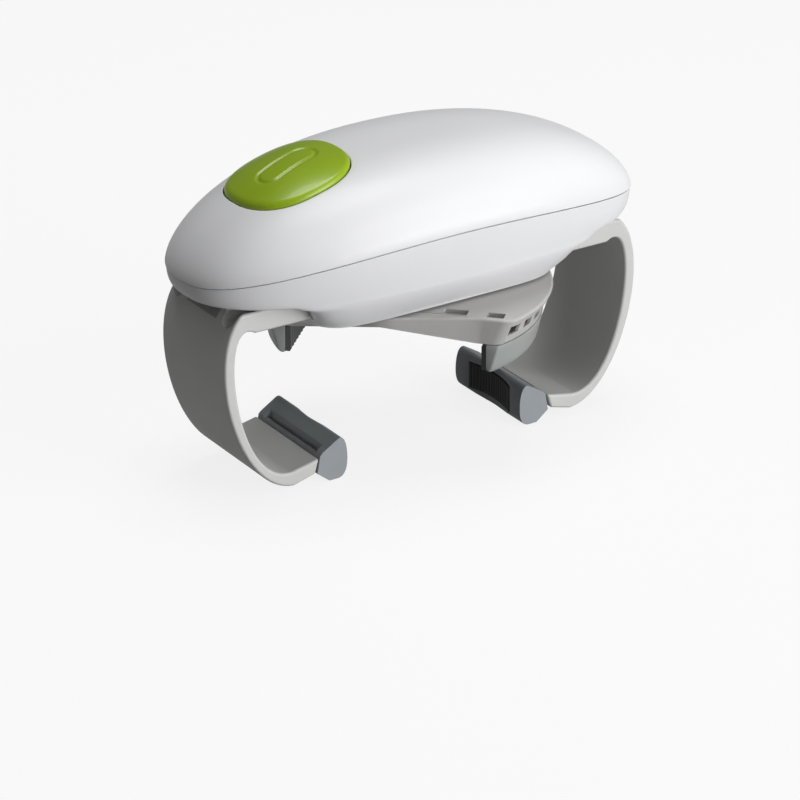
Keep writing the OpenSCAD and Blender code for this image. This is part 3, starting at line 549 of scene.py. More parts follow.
# %% Outlines of the lower shell
ARM_TOP, ARM_W, BAR_T, SLIDE_GAP = 72.2, 43, 8, 0.3
WING_Z, WING_A, WING_B = ARM_TOP + 2.2, 89, 38.5
BOSS_W, BOSS_R, BOSS_N, BOSS_EDGE = 30, 54, 10, 1.2
FILLET_L, FILLET_H = 14, 8.5
WING_FROM, WING_OVER = 9, 16  # the wing comes in where it stands out this far, and grows over so much
FLOOR_T = 3.2
FLOOR_Z = ARM_TOP - BAR_T - SLIDE_GAP
BOSS_Z = FLOOR_Z - FLOOR_T
SEAM_GAP, SEAM_STEP, INNER_DROP = 0.15, 0.35, 0.3


def smooth(v):
    """0 below 0 and 1 above 1, with a soft rise between."""
    v = max(0.0, min(1.0, v))
    return v * v * (3 - 2 * v)


def super_radius(angle, a, b):
    """How far the shell's kind of oval reaches in a direction."""
    return ((abs(math.cos(angle)) / a) ** PLAN_N + (abs(math.sin(angle)) / b) ** PLAN_N) ** (-1 / PLAN_N)


def boss_radius(angle, inset):
    flat, round_end = abs(math.sin(angle)) / (BOSS_W - inset), 1 / (BOSS_R - inset)
    return (flat ** BOSS_N + round_end ** BOSS_N) ** (-1 / BOSS_N)


def wing_radius(angle, inset):
    return super_radius(angle, WING_A - inset, WING_B - inset)


def rim_radius(angle, inset):
    return super_radius(angle, BODY_A - SEAM_STEP - inset, BODY_B - SEAM_STEP - inset)


def wing_share(angle):
    return smooth((wing_radius(angle, 0) - boss_radius(angle, 0) - WING_FROM) / WING_OVER)


print("the boss's bottom is", round(BOSS_Z, 1), "mm above the table")

# %% Sections of the lower shell
WALL_TO, FILLET_TO = 0.4, 0.8  # the shares of the section at which the wall and the fillet end
BOTTOM_SHARE, INNER_TOP = 0.6, 0.95
EDGE_STEPS, SIDE_STEPS, WING_STEPS, INNER_WING_STEPS, INNER_SIDE_STEPS = 4, 30, 18, 5, 10


def boss_side(angle, inset, low, s):
    """Radius and height from the boss's foot, where s is 0, to the wing's edge, where it is 1."""
    near, far, top = boss_radius(angle, inset), wing_radius(angle, inset), WING_Z + inset
    fillet_z, turned = top - FILLET_H, math.radians(90 * (s - WALL_TO) / (FILLET_TO - WALL_TO))
    side = (far - (far - near) * (1 - s) ** 1.5, low + (top - low) * s)
    if s <= WALL_TO:
        end = (near, low + (fillet_z - low) * s / WALL_TO)
    elif s <= FILLET_TO:
        end = (near + FILLET_L * (1 - math.cos(turned)), fillet_z + FILLET_H * math.sin(turned))
    else:
        end = (near + FILLET_L + (far - near - FILLET_L) * (s - FILLET_TO) / (1 - FILLET_TO), top)
    return mixed(side, end, wing_share(angle))


def wing_side(angle, inset, rim_z, t):
    """Radius and height from the wing's edge, where t is 0, to the rim, where it is 1."""
    near, far, low = wing_radius(angle, inset), rim_radius(angle, inset), WING_Z + inset
    turned = t * math.pi / 2
    side = (far - (far - near) * (1 - t) ** 2, low + (rim_z - low) * t)
    end = (near + (far - near) * math.sin(turned), low + (rim_z - low) * (1 - math.cos(turned)))
    return mixed(side, end, wing_share(angle))


def bowl_path(angle):
    """The lower shell's section from the middle of the boss bottom to the rim and back inside."""
    x, y = oval(BODY_A, BODY_B, PLAN_N, angle)
    heading = math.atan2(y, x)
    rim_z = seam_at(rim_radius(heading, 0) * math.cos(heading)) - SEAM_GAP
    foot = boss_radius(heading, BOSS_EDGE)
    rz = [(0, BOSS_Z), (BOTTOM_SHARE * foot, BOSS_Z)]
    rz += [(foot + BOSS_EDGE * sine, BOSS_Z + BOSS_EDGE * (1 - cosine))
           for sine, cosine in quarter_turn(EDGE_STEPS)[:-1]]
    rz += [boss_side(heading, 0, BOSS_Z + BOSS_EDGE, s) for s in spread(0, 1, SIDE_STEPS)]
    rz += [wing_side(heading, 0, rim_z, t) for t in spread(0, 1, WING_STEPS)[1:]]
    rz += [(rim_radius(heading, RIM_W), rim_z)]
    rz += [wing_side(heading, WALL, rim_z - INNER_DROP, t) for t in spread(1, 0, INNER_WING_STEPS)]
    rz += [boss_side(heading, WALL, FLOOR_Z, s) for s in spread(INNER_TOP, 0, INNER_SIDE_STEPS)]
    rz += [(0, FLOOR_Z)]
    return [(r * math.cos(heading), r * math.sin(heading), z) for r, z in rz]


print("a section of the lower shell has", len(bowl_path(0)), "points")

# %% The lower shell and its slots
BOWL_SHARP = 45
SLOT_PLAY, SLOT_REACH, SLOT_OUT = 0.3, 17, 2


def slot_block(side):
    """What is cut out of the boss for an arm's bar."""
    half, middle = ARM_W / 2 + SLIDE_GAP + SLOT_PLAY, side * (BOSS_R + SLOT_OUT)
    return box(middle - SLOT_REACH, middle + SLOT_REACH, -half, half,
               FLOOR_Z, FLOOR_Z + BAR_T + 2 * SLIDE_GAP + SLOT_PLAY)


lower = as_object("lower_shell", skin_over([bowl_path(a) for a in ANGLES]), BOWL_SHARP)
cut(lower, slot_block(-1), slot_block(1), sharp=BOWL_SHARP)
fit(lower, "housing", "white_plastic", white, "lower_housing", even=False)

# %% [markdown]
# ## The button
# A domed green cap follows the shell's own curve and stands proud of it, with a generous rounded edge that
# catches a bright line of light. A shallow oval groove is pressed into its top for the thumb. The groove
# is real relief: corners of a fine skin that lie near an oval line are pushed down.

# %% Button
OVAL_LONG, OVAL_ROUND, OVAL_W, OVAL_DEEP, OVAL_TURN = 7.5, 4.6, 1.2, 0.6, math.radians(12)
BUTTON_PROUD, BUTTON_EDGE, CROWN_SHARE, EDGE_DROP = 3.0, 1.5, 0.92, 1.3
CROWN_STEPS, ROUND_STEPS = 64, 10


def groove_depth(x, y):
    """How deep the groove is at a place: its line runs round a stadium turned a little."""
    u = (x - BUTTON_X) * math.cos(OVAL_TURN) + (y - BUTTON_Y) * math.sin(OVAL_TURN)
    v = (y - BUTTON_Y) * math.cos(OVAL_TURN) - (x - BUTTON_X) * math.sin(OVAL_TURN)
    away = abs(math.hypot(max(0.0, abs(u) - OVAL_LONG), v) - OVAL_ROUND)
    return OVAL_DEEP * (1 - smooth(away / OVAL_W))


def button_path(angle):
    """The cap's section from its middle over the crown and the rounded edge to the underside."""
    def at(share, rise, inset=0.0):
        x, y = oval(BUTTON_A * share, BUTTON_B * share, BUTTON_N, angle)
        x, y = x + BUTTON_X, y + BUTTON_Y
        return x, y, dome_at(x, y, inset) + rise

    def crown(share):
        return BUTTON_EDGE + (BUTTON_PROUD - BUTTON_EDGE) * (1 - share ** 2)

    path = []
    for share in spread(0, CROWN_SHARE, CROWN_STEPS):
        x, y, z = at(share, crown(share))
        path.append((x, y, z - groove_depth(x, y)))
    for sine, cosine in quarter_turn(ROUND_STEPS)[1:]:
        share = CROWN_SHARE + (1 - CROWN_SHARE) * sine
        path.append(at(share, crown(share) - EDGE_DROP * (1 - cosine)))
    return path + [at(1, -BUTTON_EDGE), at(1, -BUTTON_EDGE, WALL), at(0, -BUTTON_EDGE, WALL)]


button = as_object("button_cap", skin_over([button_path(a) for a in ANGLES]))
fit(button, "button", "green_plastic", green, "start_button", even=False)

# %% [markdown]
# ## The arms
# Each arm is one curved strap of even width. A flat outline, drawn from the CAD model's two curves, is
# pushed out to the strap's width and its edges are rounded, because a bright rounded rim is the first
# thing one sees of such a moulding. Two round-bottomed grooves and a flat recess between them lighten the
# shoulder; where they break out through its curve they end in a round lip and a straight one. A toothed
# rack runs from each arm to the pinion in the middle.

# %% Arms
SHOULDER, SHOULDER_PULL = (79.4, ARM_TOP), (16.5, -13.6)
HEEL, HEEL_PULL = (59.1, 2.0), (23.1, 1.3)
INNER_SHOULDER, INNER_SHOULDER_PULL = (74.0, ARM_TOP - BAR_T), (15.4, 10.5)
INNER_HEEL, INNER_HEEL_PULL = (60.0, 7.6), (23, -1.8)
TIP_X, TIP_LOW, TIP_T, BAR_END, ARM_STEPS = 49.4, 4.3, 5.6, 38, 48
TIP_LEAN = ((1, 0), (-0.6, TIP_T))  # the tip's end leans: its foot and its top, seen from TIP_X


def bezier(p0, p1, p2, p3, count):
    """Points of a cubic curve between p0 and p3, in the plane."""
    points = []
    for t in spread(0, 1, count):
        shares = ((1 - t) ** 3, 3 * (1 - t) ** 2 * t, 3 * (1 - t) * t * t, t ** 3)
        points.append(tuple(sum(share * p[axis] for share, p in zip(shares, (p0, p1, p2, p3)))
                            for axis in (0, 1)))
    return points


def arm_outline():
    outer = bezier(SHOULDER, plus(SHOULDER, *SHOULDER_PULL), plus(HEEL, *HEEL_PULL), HEEL, ARM_STEPS)
    inner = bezier(INNER_HEEL, plus(INNER_HEEL, *INNER_HEEL_PULL),
                   plus(INNER_SHOULDER, *INNER_SHOULDER_PULL), INNER_SHOULDER, ARM_STEPS)
    tip = [plus((TIP_X, TIP_LOW), *lean) for lean in TIP_LEAN]
    return [(BAR_END, ARM_TOP - BAR_T), (BAR_END, ARM_TOP)] + outer + tip + inner


print("an arm's outline has", len(arm_outline()), "points")

# %% Grooves, recess and pocket
GROOVE_R, GROOVE_Y, GROOVE_T, GROOVE_STEPS = 3.9, 16.6, 5.3, 24
RECESS_W, RECESS_T = 9.8, 4.4
POCKET_Y, POCKET_W, POCKET_T, POCKET_L = 8.8, 9.5, 4.3, 26
CUT_FROM, CUT_L, CUT_TOP = SHOULDER[0] - 10, 25, ARM_TOP + 8


def bar_along_x(outline, start, end):
    """A bar whose section is given as (y, z) and that runs along X."""
    return turn(flat_block(outline, start, end, "Y"), 90)


def open_slot(low_y, high_y, depth):
    """The section of a flat cut that is open at the top."""
    floor = ARM_TOP - depth
    return [(low_y, floor), (high_y, floor), (high_y, CUT_TOP), (low_y, CUT_TOP)]


def shoulder_tools():
    """What is cut into the shoulder: round grooves, a flat recess and the other rack's pocket."""
    tools = []
    for side in (-1, 1):
        middle = side * GROOVE_Y, ARM_TOP - GROOVE_T + GROOVE_R
        outline = [(middle[0] + GROOVE_R, CUT_TOP), (middle[0] - GROOVE_R, CUT_TOP)]
        outline += [plus(middle, *around(-GROOVE_R, a)) for a in spread(0, 180, GROOVE_STEPS)]
        tools.append(bar_along_x(outline, CUT_FROM, CUT_FROM + CUT_L))
    tools.append(bar_along_x(open_slot(-RECESS_W, RECESS_W, RECESS_T), CUT_FROM, CUT_FROM + CUT_L))
    tools.append(bar_along_x(open_slot(POCKET_Y, POCKET_Y + POCKET_W, POCKET_T),
                             BAR_END - 1, BAR_END + POCKET_L))
    return tools


def swing(made, degrees):
    """Turns a finished mesh about the upright axis."""
    made.data.transform(Matrix.Rotation(math.radians(degrees), 4, "Z"))
    return made


def arm_strap(name, degrees):
    made = as_object(name, soften(flat_block(arm_outline(), -ARM_W / 2, ARM_W / 2, "Y"), 1.0, 4))
    cut(made, *shoulder_tools())
    soften_again(made, 0.3)
    return swing(made, degrees)


print("the grooves are", round(2 * GROOVE_R, 1), "mm wide")

# %% Racks, and both arms
TOOTH_PITCH, PRESSURE_SLOPE, TOOTH_PLAY = math.pi, math.tan(math.radians(25)), 0.04
TOOTH_ROOT, TOOTH_TIP = 1.2, 0.9  # from the pitch line to the teeth's roots and to their tips
RACK_END = 2  # no tooth's middle is nearer to the rack's ends
ARM_RACK = {"pitch_y": 10, "first": -44, "last": 22, "back": 17.8, "low": ARM_TOP - 4.15, "high": ARM_TOP}


def rack(name, degrees, pitch_y, first, last, back, low, high):
    """A rack of module 1 with its teeth towards -Y, seen from above."""
    middle, half = TOOTH_PITCH / 2, TOOTH_PITCH / 4 - TOOTH_PLAY
    outline = [(last, back), (first, back), (first, pitch_y + TOOTH_ROOT)]
    for k in range(math.ceil((first + RACK_END - middle) / TOOTH_PITCH),
                   math.floor((last - RACK_END - middle) / TOOTH_PITCH) + 1):
        x = k * TOOTH_PITCH + middle
        for side, lift in ((-1, TOOTH_ROOT), (-1, -TOOTH_TIP), (1, -TOOTH_TIP), (1, TOOTH_ROOT)):
            outline.append((x + side * (half + lift * PRESSURE_SLOPE), pitch_y + lift))
    outline.append((last, pitch_y + TOOTH_ROOT))
    return as_object(name, turn(flat_block(outline, low, high), degrees))


SIDES = (("right", 0), ("left", 180))
for side_name, degrees in SIDES:
    body = side_name + "_arm"
    fit(arm_strap(side_name + "_strap", degrees), body, "grey_plastic", arm_grey, side_name + "_arm")
    fit(rack(side_name + "_rack", degrees + 180, **ARM_RACK), body, "grey_plastic", arm_grey)

# %% [markdown]
# ## The jar grips
# A rubber block ends each arm. Its face is a hollow round of 40 mm, its top slopes back to a slot, and a
# round rail lies in the slot. The block is cut and softened; the upright ribs of its face are a thin skin
# of a darker rubber, because the ribs need many more corners than the block.

# %% Grip blocks
GRIP_R, GRIP_W, GRIP_H, NOSE = 40, 42, 15.5, 36.9
BACK_Z = TIP_LOW + TIP_T
SLOT_X, SLOT_Z, SLOT_W, SLOT_H, SLOT_END = TIP_X - 4.4, BACK_Z - 2, 3.2, 12, 3.5


def round_bar(radius, length, place, segments):
    sheet = bmesh.new()
    bmesh.ops.create_cone(sheet, cap_ends=True, segments=segments, radius1=radius * MM, radius2=radius * MM,
                          depth=length * MM, matrix=place)
    return sheet


def grip_outline():
    """From the tip up the back, over the sloping crown and down the nose to a rounded sole."""
    crown, chin, sole = (GRIP_R + 0.6, GRIP_H), (NOSE, GRIP_H * 0.45), (NOSE + 4, 0)
    points = [(TIP_X, TIP_LOW - 0.4), (TIP_X - 1.2, BACK_Z + 0.6), (TIP_X - 2.2, BACK_Z + 1.6)]
    points += bezier(crown, plus(crown, -2.6, 0.9), plus(chin, 0, 5), chin, 10)
    points += bezier(chin, (NOSE, 3), (NOSE + 1.2, 0), sole, 7)[1:]
    return points + [(TIP_X - 5, 0)]


def grip_block(name, degrees):
    made = as_object(name, flat_block(grip_outline(), -GRIP_W / 2, GRIP_W / 2, "Y"))
    cut(made, round_bar(GRIP_R, 60, Matrix.Translation((0, 0, 20 * MM)), 256))
    soften_again(made, 0.9, 3)
    slot_y = GRIP_W / 2 - SLOT_END
    cut(made, box(SLOT_X, SLOT_X + SLOT_W, -slot_y, slot_y, SLOT_Z, SLOT_Z + SLOT_H), sharp=40)
    soften_again(made, 0.25)
    return swing(made, degrees)


print("a grip's outline has", len(grip_outline()), "points")

# %% Ribbed faces, rails, and both grips
RIBS, PER_RIB = 17, 8
RIB_SQUARES = RIBS * PER_RIB
FACE_HALF, FACE_SINK, RIB_H = 13.6, 0.1, 0.55
FACE_HEIGHTS = [2.4, 2.7, 3.2] + spread(4, 11.4, 3) + [12.1, 12.6, 12.9]
RAIL_R, RAIL_PLAY = 1.1, 0.2


def ribbed_face(name, degrees):
    """A thin curved plate on the hollow face, with upright ribs."""
    rows = len(FACE_HEIGHTS)

    def place(i, j):
        angle = (i / RIB_SQUARES * 2 - 1) * FACE_HALF / GRIP_R
        rib = RIB_H * abs(math.sin(math.pi * i / PER_RIB)) ** 0.7
        if j in (0, rows + 1):  # the edge goes back into the block
            radius, z = GRIP_R + 0.6, FACE_HEIGHTS[0 if j == 0 else -1]
        else:
            raised = j not in (1, rows)
            radius, z = GRIP_R + 0.05 - (FACE_SINK + rib) * raised, FACE_HEIGHTS[j - 1]
        return radius * math.cos(angle), radius * math.sin(angle), z

    return as_object(name, turn(skin(RIB_SQUARES, rows + 1, place), degrees), 60)


def rail(name, degrees):
    middle = Vector((SLOT_X + SLOT_W / 2, 0, SLOT_Z + 0.9)) * MM
    bar = round_bar(RAIL_R, GRIP_W - 2 * SLOT_END - 2 * RAIL_PLAY,
                    Matrix.Translation(middle) @ Matrix.Rotation(math.pi / 2, 4, "X"), 24)
    return as_object(name, turn(soften(bar, 0.3, 2, 60), degrees), 40)


for side_name, degrees in SIDES:
    body = side_name + "_arm"
    fit(grip_block(side_name + "_grip_block", degrees), body, "grip_rubber", grip_rubber,
        side_name + "_jar_grip")
    fit(ribbed_face(side_name + "_grip_face", degrees), body, "pad_rubber", face_rubber, even=False)
    fit(rail(side_name + "_grip_rail", degrees), body, "grip_rubber", frame_grey)

# %% [markdown]
# ## The turret
# Below the boss turns a broad bar with round ends, moulded as an upside-down tray. Its skirt is deepest at
# the ends, where it guards the jaws, and shallow in the middle. Windows beside each long edge and a comb of
# openings in each end show its ribs. A skin runs from the middle of the top over the soft rim, down the
# skirt and back inside, and the openings are cut out of it.

# %% The turret's outline
TURRET_TURN, TURRET_R, SKIRT_R, SKIRT_H = -46, 53.6, 50.6, 9.5
TURRET_Z = BOSS_Z - 1
SKIRT_Z = TURRET_Z - SKIRT_H
TURRET_W, TURRET_MID, TAPER, TAPER_STEPS = 28.5, 36.0, 33.0, 6
TURRET_CORNER, CORNER_PULL = 3.5, 0.6


def soft_corner(start, corner, end, count):
    """A rounded corner from start to end, whose sides would meet at the corner."""
    return bezier(start, mixed(start, corner, CORNER_PULL), mixed(end, corner, CORNER_PULL), end, count)


def turret_outline(inset, radius):
    """Round-ended bar, wider in the middle: points from the middle of one long side all the way round."""
    half, mid = TURRET_W - inset, TURRET_MID - inset
    radius -= inset
    end_angle = math.asin(half / radius)
    first_angle, reach = end_angle - TURRET_CORNER / radius, radius * math.cos(end_angle)
    start = reach - TURRET_CORNER, half
    end = radius * math.cos(first_angle), radius * math.sin(first_angle)
    quarter = [(TAPER * k / TAPER_STEPS, mid + (half - mid) * k / TAPER_STEPS)
               for k in range(TAPER_STEPS + 1)]
    quarter += [(x, half) for x in spread(TAPER, start[0], 3)[1:]]
    quarter += soft_corner(start, (reach, half), end, 6)[1:]
    quarter += [(radius * math.cos(a), radius * math.sin(a)) for a in spread(first_angle, 0, 14)[1:]]
    whole = quarter + [(x, -y) for x, y in reversed(quarter[:-1])]
    return whole + [(-x, -y) for x, y in quarter[1:]] + [(-x, y) for x, y in reversed(quarter[1:-1])]


print("the turret's outline has", len(turret_outline(0, TURRET_R)), "points")

# %% The turret's skin
SKIRT_MID_H, TURRET_WALL, TURRET_EDGE = 3.4, 2.0, 0.9
RIM_H, RIM_STEP, RIM_DROP, END_WALL = 2.8, 0.8, 0.25, 1.6
SKIRT_SHARES = (0.0, 0.33, 0.66, 0.93, 1.0)


def skirt_low(x):
    """The height of the skirt's foot: lowest past the taper, highest in the middle."""
    return TURRET_Z - SKIRT_MID_H + (SKIRT_Z - TURRET_Z + SKIRT_MID_H) * min(1.0, abs(x) / TAPER)


def skirt_row(share, stepped):
    """share 0 is just under the rim and 1 is the skirt's foot; stepped moves the end walls in."""
    row = []
    for (x, y), (foot_x, _) in zip(turret_outline(0, TURRET_R), turret_outline(0, SKIRT_R)):
        z = TURRET_Z - RIM_H - RIM_DROP * stepped
        z += (skirt_low(x) - z) * share
        step = stepped * RIM_STEP * (abs(x) > TAPER and abs(y) < TURRET_W - END_WALL)
        near = 1 - step / math.hypot(x, y)
        row.append(((x + (foot_x - x) * (TURRET_Z - z) / SKIRT_H) * near, y * near, z))
    return row


def inner_row(share):
    """The tray's inside: share 1 is the skirt's foot and 0 is the ceiling."""
    row = []
    foot = turret_outline(TURRET_WALL, SKIRT_R)
    for (x, y), (foot_x, _) in zip(turret_outline(TURRET_WALL, TURRET_R), foot):
        low = skirt_low(x)
        row.append((x + (foot_x - x) * share * (TURRET_Z - low) / SKIRT_H, y,
                    TURRET_Z - TURRET_WALL + (low - TURRET_Z + TURRET_WALL) * share))
    return row


def turret_shell():
    top = turret_outline(0, TURRET_R)
    rows = [[(0, 0, TURRET_Z)] * len(top), [(x * 0.5, y * 0.5, TURRET_Z) for x, y in top]]
    for sine, cosine in quarter_turn(3):
        rows.append([(x, y, TURRET_Z - TURRET_EDGE * (1 - cosine))
                     for x, y in turret_outline(TURRET_EDGE * (1 - sine), TURRET_R)])
    rows += [skirt_row(0, 0)] + [skirt_row(share, 1) for share in SKIRT_SHARES]
    rows += [inner_row(share) for share in (1.0, 0.5, 0.0)]
    rows.append([(0, 0, TURRET_Z - TURRET_WALL)] * len(top))
    return as_object("turret_shell", skin_over([row + row[:1] for row in rows]), 40)


turret = turret_shell()
print("the turret's skin has", len(turret.data.polygons), "faces")

# %% The turret's openings
WINDOWS = ((20.5, 29.0), (35.8, 42.2))  # where each begins and ends along the edge
WINDOW_NEAR, WINDOW_FAR, WINDOW_DEEP = 2, 6.2, 4  # seen from the long edge and from the top
LINE_FROM, LINE_TO, LINE_NEAR, LINE_FAR, LINE_DEEP = 6, 29.5, 1, 1.5, 0.4
COMB_PITCH, COMB_HALF, COMB_H, COMB_GAP, COMB_IN, COMB_OUT = 7.8, 2.4, 3.7, 0.1, 11, 5


def mirrored(sign, first, last):
    """A stretch in rising order, or its mirror image where sign is -1."""
    return sorted((sign * first, sign * last))


def turret_openings(sign):
    """The windows, the shallow line beside them and the comb, at one end of the turret."""
    forms = []
    for start, stop in WINDOWS:
        window = box(*mirrored(sign, start, stop),
                     *mirrored(sign, WINDOW_NEAR - TURRET_W, WINDOW_FAR - TURRET_W),
                     TURRET_Z - WINDOW_DEEP, TURRET_Z + 2)
        forms.append(soften(window, 0.5, 2))
    forms.append(box(*mirrored(sign, LINE_FROM, LINE_TO),
                     *mirrored(sign, LINE_NEAR - TURRET_W, LINE_FAR - TURRET_W),
                     TURRET_Z - LINE_DEEP, TURRET_Z + 1))
    top = TURRET_Z - RIM_H - COMB_GAP
    for k in range(-3, 4):
        forms.append(box(*mirrored(sign, TURRET_R - COMB_IN, TURRET_R + COMB_OUT),
                         k * COMB_PITCH - COMB_HALF, k * COMB_PITCH + COMB_HALF, top - COMB_H, top))
    return forms


cut(turret, *turret_openings(1), *turret_openings(-1), sharp=40)
fit(swing(turret, TURRET_TURN), "turret", "grey_plastic", turret_grey, "turret_cover")

# %% [markdown]
# ## The lid jaws
# Each jaw hangs from a carriage and a rack inside the turret. Its outer face continues the turret's round
# end and draws in towards the foot, its lower corners are rounded, and a ribbed rubber pad lines its flat
# inner face. The jaw is a skin through its level sections, and the pad is a sheet of small waves.

# %% Jaws
JAW_Z, JAW_H, JAW_R, JAW_FOOT_R, JAW_W = SKIRT_Z - 0.3, 11.2, 50.2, 47.8, 29
PADS_APART, PAD_T = 69, 2.0
FACE = PADS_APART / 2 + PAD_T
JAW_LEVELS = ((0, 0.5), (0.15, 0.2), (0.5, 0.0), (3, 0), (6, 0), (8.6, 0.05), (9.8, 0.4), (10.7, 1.1),
              (JAW_H, 2.2))  # how far down, and how far the section is drawn in there
JAW_SOFT, JAW_END = 0.6, 1.5


def jaw_section(depth, inset):
    """The jaw's outline at a depth: the flat inner face, a soft corner, the round outer face and back."""
    radius = JAW_R + (JAW_FOOT_R - JAW_R) * depth / JAW_H - inset
    width = min(JAW_W - inset, radius * math.sin(math.acos((FACE + JAW_END) / radius)))
    far = math.asin(width / radius)
    inner = [(FACE + 0.2 * inset, v) for v in spread(-width + 0.5, width - 0.5, 6)]
    arc = [(radius * math.cos(a), radius * math.sin(a)) for a in spread(far - JAW_SOFT / radius, 0, 15)]
    corner = (radius * math.cos(far), width)
    arc = soft_corner((corner[0] - JAW_SOFT, width), corner, arc[0], 5)[:-1] + arc
    return [(u, v, JAW_Z - depth) for u, v in inner + arc + [(u, -v) for u, v in reversed(arc[:-1])]]


def jaw(name, degrees):
    rows = [jaw_section(depth, inset) for depth, inset in JAW_LEVELS]
    ceiling, sole = ([(FACE + 6, 0, row[0][2])] * len(row) for row in (rows[0], rows[-1]))
    rows = [row + row[:1] for row in [ceiling] + rows + [sole]]
    return as_object(name, turn(skin_over(rows), TURRET_TURN + degrees), 40)


print("a jaw's section has", len(jaw_section(3, 0)), "points")

# %% Pads, carriages, racks, and both jaws
PAD_HALF, PAD_FOOT, PAD_RIM, PAD_EDGE, PAD_RIB = JAW_W - 2.0, JAW_Z - JAW_H, 0.9, 1.3, 0.8
PAD_HEIGHTS = [PAD_FOOT + PAD_RIM] + spread(PAD_FOOT + PAD_EDGE, JAW_Z - PAD_EDGE, 4) + [JAW_Z - PAD_RIM]
RACK_LOW, RACK_HIGH, CARRIAGE_X, CARRIAGE_Y = SKIRT_Z + 2.2, SKIRT_Z + 6.8, (38, 42), (-12, 12)
JAW_RACK = {"pitch_y": 7, "first": -13, "last": 39, "back": 12, "low": RACK_LOW, "high": RACK_HIGH}


def lid_pad(name, degrees):
    """A sheet of upright ribs whose four sides go back to the jaw."""
    rows = len(PAD_HEIGHTS)

    def place(i, j):
        k, row = min(max(i - 1, 0), RIB_SQUARES), min(max(j - 1, 0), rows - 1)
        v = (k / RIB_SQUARES * 2 - 1) * PAD_HALF
        if i in (0, RIB_SQUARES + 2) or j in (0, rows + 1):
            return FACE + 0.1, v, PAD_HEIGHTS[row]
        groove = PAD_RIB * (1 - abs(math.sin(math.pi * k / PER_RIB)) ** 0.5) * (0 < k < RIB_SQUARES)
        return FACE - PAD_T + groove + 0.4 * (j in (1, rows)), v, PAD_HEIGHTS[row]

    return as_object(name, turn(skin(RIB_SQUARES + 2, rows + 1, place), TURRET_TURN + degrees), 60)


def carriage(name, degrees):
    """The block that joins the jaw to its rack."""
    block = box(*CARRIAGE_X, *CARRIAGE_Y, JAW_Z - 0.05, RACK_HIGH)
    return as_object(name, turn(block, TURRET_TURN + degrees))


for jaw_name, degrees in (("near", 0), ("far", 180)):
    body = jaw_name + "_jaw"
    fit(jaw(body + "_block", degrees), body, "jaw_plastic", jaw_grey, jaw_name + "_lid_jaw", even=False)
    fit(lid_pad(body + "_pad", degrees), body, "pad_rubber", pad_rubber, jaw_name + "_lid_pad", even=False)
    fit(carriage(body + "_carriage", degrees), body, "jaw_plastic", jaw_grey)
    fit(rack(body + "_rack", TURRET_TURN + degrees, **JAW_RACK), body, "jaw_plastic", jaw_grey)

# %% [markdown]
# ## Table and light
# The object stands on a plain pale table. A large soft lamp stands in front and to the right, a second
# one low beside it lights the boss, and a third hangs above. They are ellipses, so their reflections have
# no corners, and the faces that turn left stay in quiet shade. The table is white to the camera and in
# reflections only; to other light it is darker, so that it does not light the object from below.

# %% Table
TABLE_R, TABLE_SINK = 4.0, 0.2 * MM
SEEN_WHITE, MIRRORED_WHITE = 0.84, 0.4  # the white's share in what the camera and a reflection see
BOUNCE = 0.18


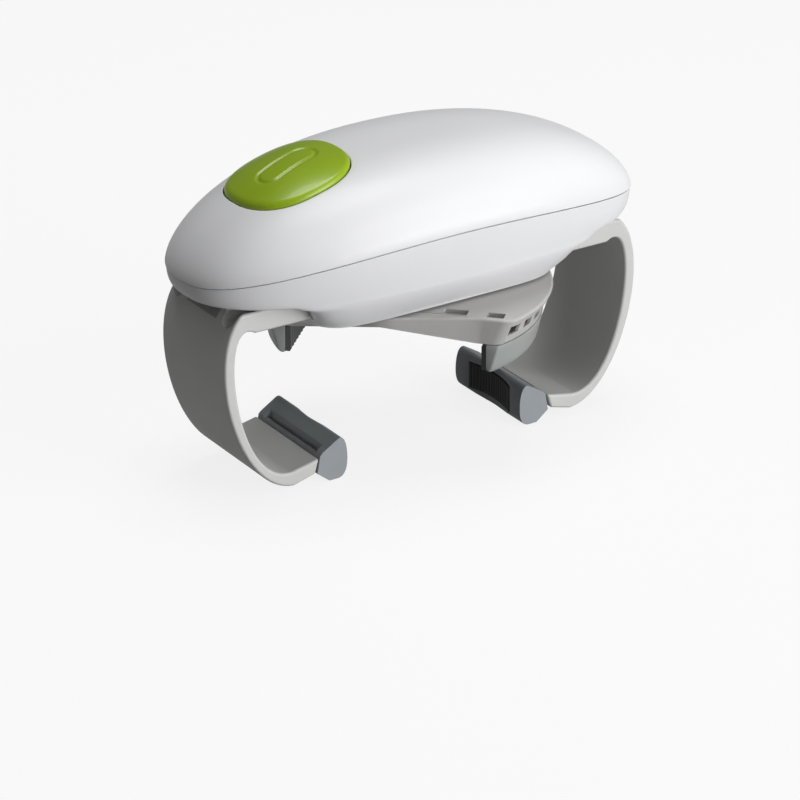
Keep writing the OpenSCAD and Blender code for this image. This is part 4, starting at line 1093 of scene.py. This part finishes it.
def pale_table():
    top = Finish("pale_table", Roughness=0.6, Specular_IOR_Level=0.2)
    ray = top.node("ShaderNodeLightPath", out="Is Camera Ray")
    mirror = top.node("ShaderNodeLightPath", out="Is Glossy Ray")
    glass = top.node("ShaderNodeLightPath", out="Is Transmission Ray")
    pale = top.blend(top.noise(0.004, 2), tint(0.86, 0.86, 0.86), tint(0.9, 0.9, 0.9))
    top.set(Base_Color=top.blend(ray, tint(BOUNCE, BOUNCE, BOUNCE), pale))
    glow = top.node("ShaderNodeEmission", {}, {"Color": tint(1, 1, 1), "Strength": 1.0})
    share = SEEN_WHITE * (ray + glass) + MIRRORED_WHITE * mirror
    mix = top.node("ShaderNodeMixShader", {}, {0: share, 1: Wire(top, top.shader.outputs[0]), 2: glow})
    top.tree.links.new(mix.socket, top.tree.nodes["Material Output"].inputs["Surface"])
    return top.material


sheet = bmesh.new()
bmesh.ops.create_circle(sheet, cap_ends=True, segments=96, radius=TABLE_R)
table = as_object("table_top", sheet)
dress(table, pale_table())
table.data.transform(Matrix.Translation((0, 0, -TABLE_SINK)))
print("the table is", 2 * TABLE_R, "m across")

# %% World and lamps
WORLD_LEVEL, LAMP_TARGET = 0.13, Vector((0, 0, 0.07))
LAMPS = (("key", (0.72, -1.41, 0.92), 1.5, 1.2, 12.8),  # place and size in metres, and watts
         ("low", (0.75, -1.66, 0.2), 1.6, 0.4, 18.6),
         ("top", (0.16, 0.16, 1.67), 1.0, 1.0, 13.3))


def lamp(name, place, wide, tall, watts):
    light = bpy.data.lights.new(name, "AREA")
    light.shape, light.size, light.size_y, light.energy = "ELLIPSE", wide, tall, watts
    made = bpy.data.objects.new(name, light)
    made.location = place
    made.rotation_mode = "QUATERNION"
    made.rotation_quaternion = (LAMP_TARGET - Vector(place)).to_track_quat("-Z", "Y")
    bpy.context.scene.collection.objects.link(made)


def pale_world(level):
    """White where the camera looks past the table, and a faint even light for everything else."""
    world = bpy.data.worlds.new("pale_world")
    world.use_nodes = True
    tree = world.node_tree
    ray = tree.nodes.new("ShaderNodeLightPath")
    seen = tree.nodes.new("ShaderNodeMath")
    seen.operation = "MAXIMUM"
    shade_level = tree.nodes.new("ShaderNodeMapRange")
    shade_level.inputs["To Min"].default_value, shade_level.inputs["To Max"].default_value = level, 1.0
    sky = tree.nodes["Background"]
    sky.inputs["Color"].default_value = tint(1, 1, 1)
    for source, target in ((ray.outputs["Is Camera Ray"], seen.inputs[0]),
                           (ray.outputs["Is Transmission Ray"], seen.inputs[1]),
                           (seen.outputs[0], shade_level.inputs["Value"]),
                           (shade_level.outputs[0], sky.inputs["Strength"])):
        tree.links.new(source, target)
    bpy.context.scene.world = world


pale_world(WORLD_LEVEL)
for settings in LAMPS:
    lamp(*settings)
bpy.context.scene.view_settings.view_transform = "Standard"
